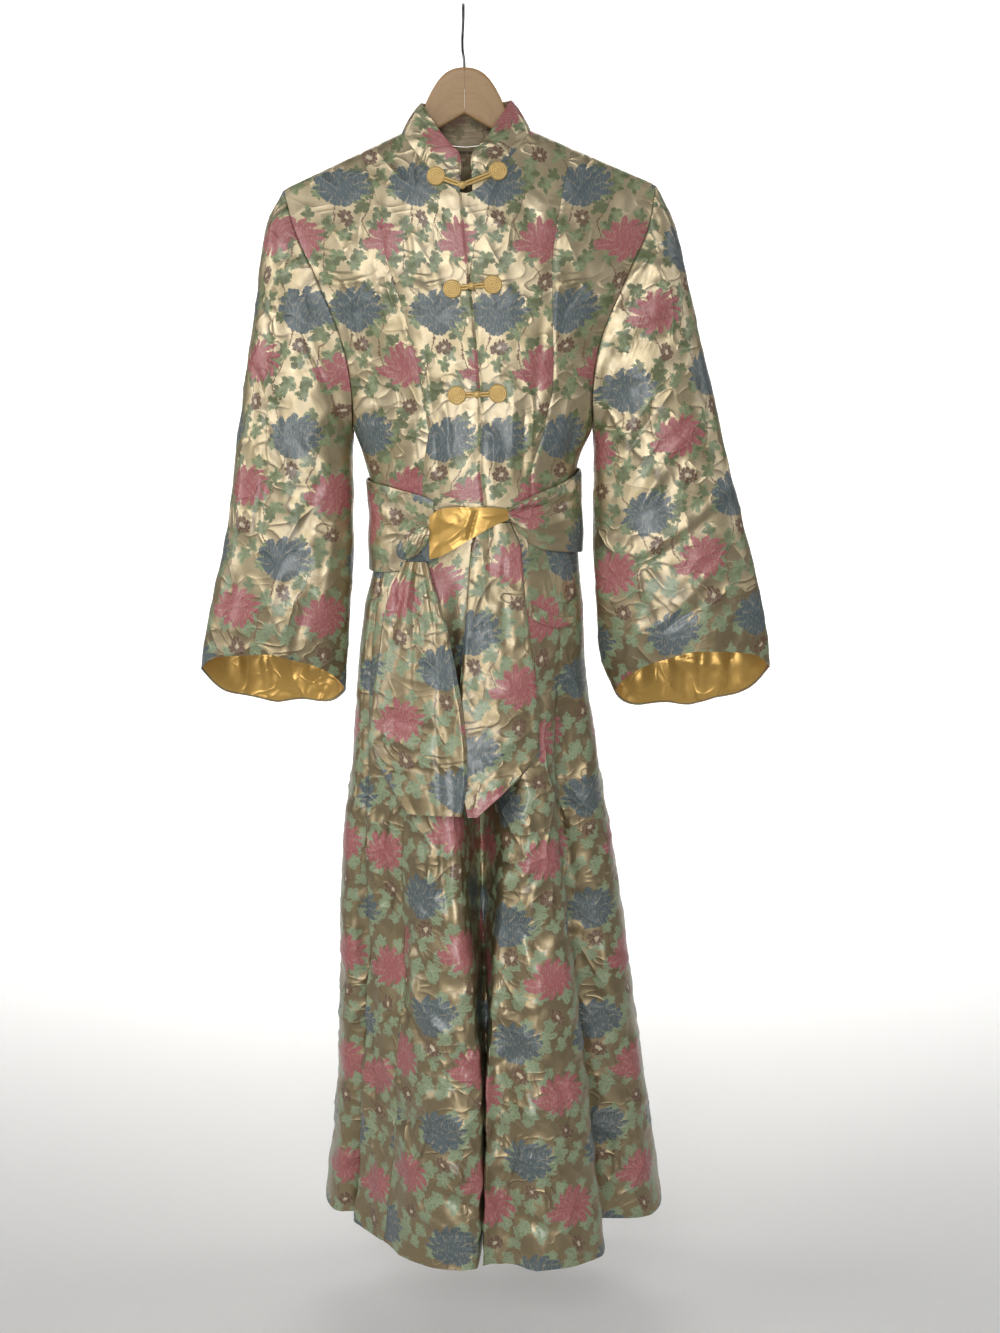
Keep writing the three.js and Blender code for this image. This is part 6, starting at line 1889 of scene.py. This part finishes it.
class ROBE_OT_stage(Operator):
    """Makes the pale sweep, the soft lights and the camera"""
    bl_idname = "robe.stage"
    bl_label = "Stage"

    def execute(self, context):
        scene = context.scene
        settings = scene.robe_stage
        t = np.linspace(0, 1, 40)
        arc = np.stack([SWEEP_FAR - SWEEP_BEND + SWEEP_BEND * np.sin(t * np.pi / 2),
                        SWEEP_BEND - SWEEP_BEND * np.cos(t * np.pi / 2)], -1)
        line = np.concatenate([[[SWEEP_NEAR, 0.0]], arc, [[SWEEP_FAR, SWEEP_TOP]]])
        x = np.array([-SWEEP_HALF, SWEEP_HALF])
        vertices = points(x[None], line[:, :1], FLOOR_Z + line[:, 1:])
        corners, _ = grid_faces(len(line), 2, False)
        mesh = bpy.data.meshes.new("sweep")
        mesh.from_pydata(vertices.reshape(-1, 3), [], corners)
        mesh.materials.append(backdrop_material())
        mesh.polygons.foreach_set("use_smooth", np.ones(len(corners), bool))
        mesh.update()
        sweep = bpy.data.objects.new("sweep", mesh)
        scene.collection.objects.link(sweep)

        for name, (setting, share, spread, wide, tall, where, target) in LAMPS.items():
            data = bpy.data.lights.new(name, "AREA")
            data.energy = share * getattr(settings, setting)
            data.shape, data.size, data.size_y = "RECTANGLE", wide, tall
            data.spread = math.radians(spread)
            lamp = bpy.data.objects.new(name, data)
            lamp.location = where
            aim = mathutils.Vector(target) - mathutils.Vector(where)
            lamp.rotation_euler = aim.to_track_quat("-Z", "Y").to_euler()
            scene.collection.objects.link(lamp)

        world = bpy.data.worlds.new("room")
        world.use_nodes = True
        background = world.node_tree.nodes["Background"]
        background.inputs["Color"].default_value = ROOM_COLOUR
        # the room looks paler than the light it gives
        nodes = Nodes(world.node_tree)
        seen = nodes.add("ShaderNodeLightPath").outputs["Is Camera Ray"]
        nodes.feed(background.inputs["Strength"], nodes.math(
            "MULTIPLY_ADD", seen, ROOM_SEEN - settings.world, settings.world))
        scene.world = world
        scene.view_settings.view_transform = "Standard"

        camera = bpy.data.cameras.new("camera")
        camera.lens, camera.sensor_width = settings.lens, SENSOR
        view = bpy.data.objects.new("camera", camera)
        view.location = CAMERA_AT
        view.rotation_euler = (math.radians(CAMERA_TILT), 0.0, 0.0)
        scene.collection.objects.link(view)
        scene.camera = view
        return {"FINISHED"}


OPERATORS = (ROBE_OT_hanger, ROBE_OT_body, ROBE_OT_sleeves, ROBE_OT_collar, ROBE_OT_belt,
             ROBE_OT_pocket, ROBE_OT_frogs, ROBE_OT_stage)


class ROBE_PT_panel(Panel):
    """Lists the robe's sizes, colours and pieces"""
    bl_label = "Robe"
    bl_space_type = "VIEW_3D"
    bl_region_type = "UI"
    bl_category = "Robe"

    def draw(self, context):
        for group in (context.scene.robe_cloth, context.scene.robe_colours,
                      context.scene.robe_stage):
            box = self.layout.box()
            for name in group.__annotations__:
                box.prop(group, name)
        for operator in OPERATORS:
            self.layout.operator(operator.bl_idname)


GROUPS = (("robe_cloth", RobeCloth), ("robe_colours", RobeColours), ("robe_stage", RobeStage))


def register():
    """Adds the classes and the scene's settings."""
    for name, group in GROUPS:
        bpy.utils.register_class(group)
        setattr(bpy.types.Scene, name, PointerProperty(type=group))
    for operator in OPERATORS:
        bpy.utils.register_class(operator)
    bpy.utils.register_class(ROBE_PT_panel)


def unregister():
    """Takes them away again."""
    bpy.utils.unregister_class(ROBE_PT_panel)
    for operator in reversed(OPERATORS):
        bpy.utils.unregister_class(operator)
    for name, group in reversed(GROUPS):
        delattr(bpy.types.Scene, name)
        bpy.utils.unregister_class(group)


def main():
    """Makes every piece and the stage."""
    register()
    for operator in OPERATORS:
        group, name = operator.bl_idname.split(".")
        getattr(getattr(bpy.ops, group), name)()


if __name__ == "__main__":
    main()
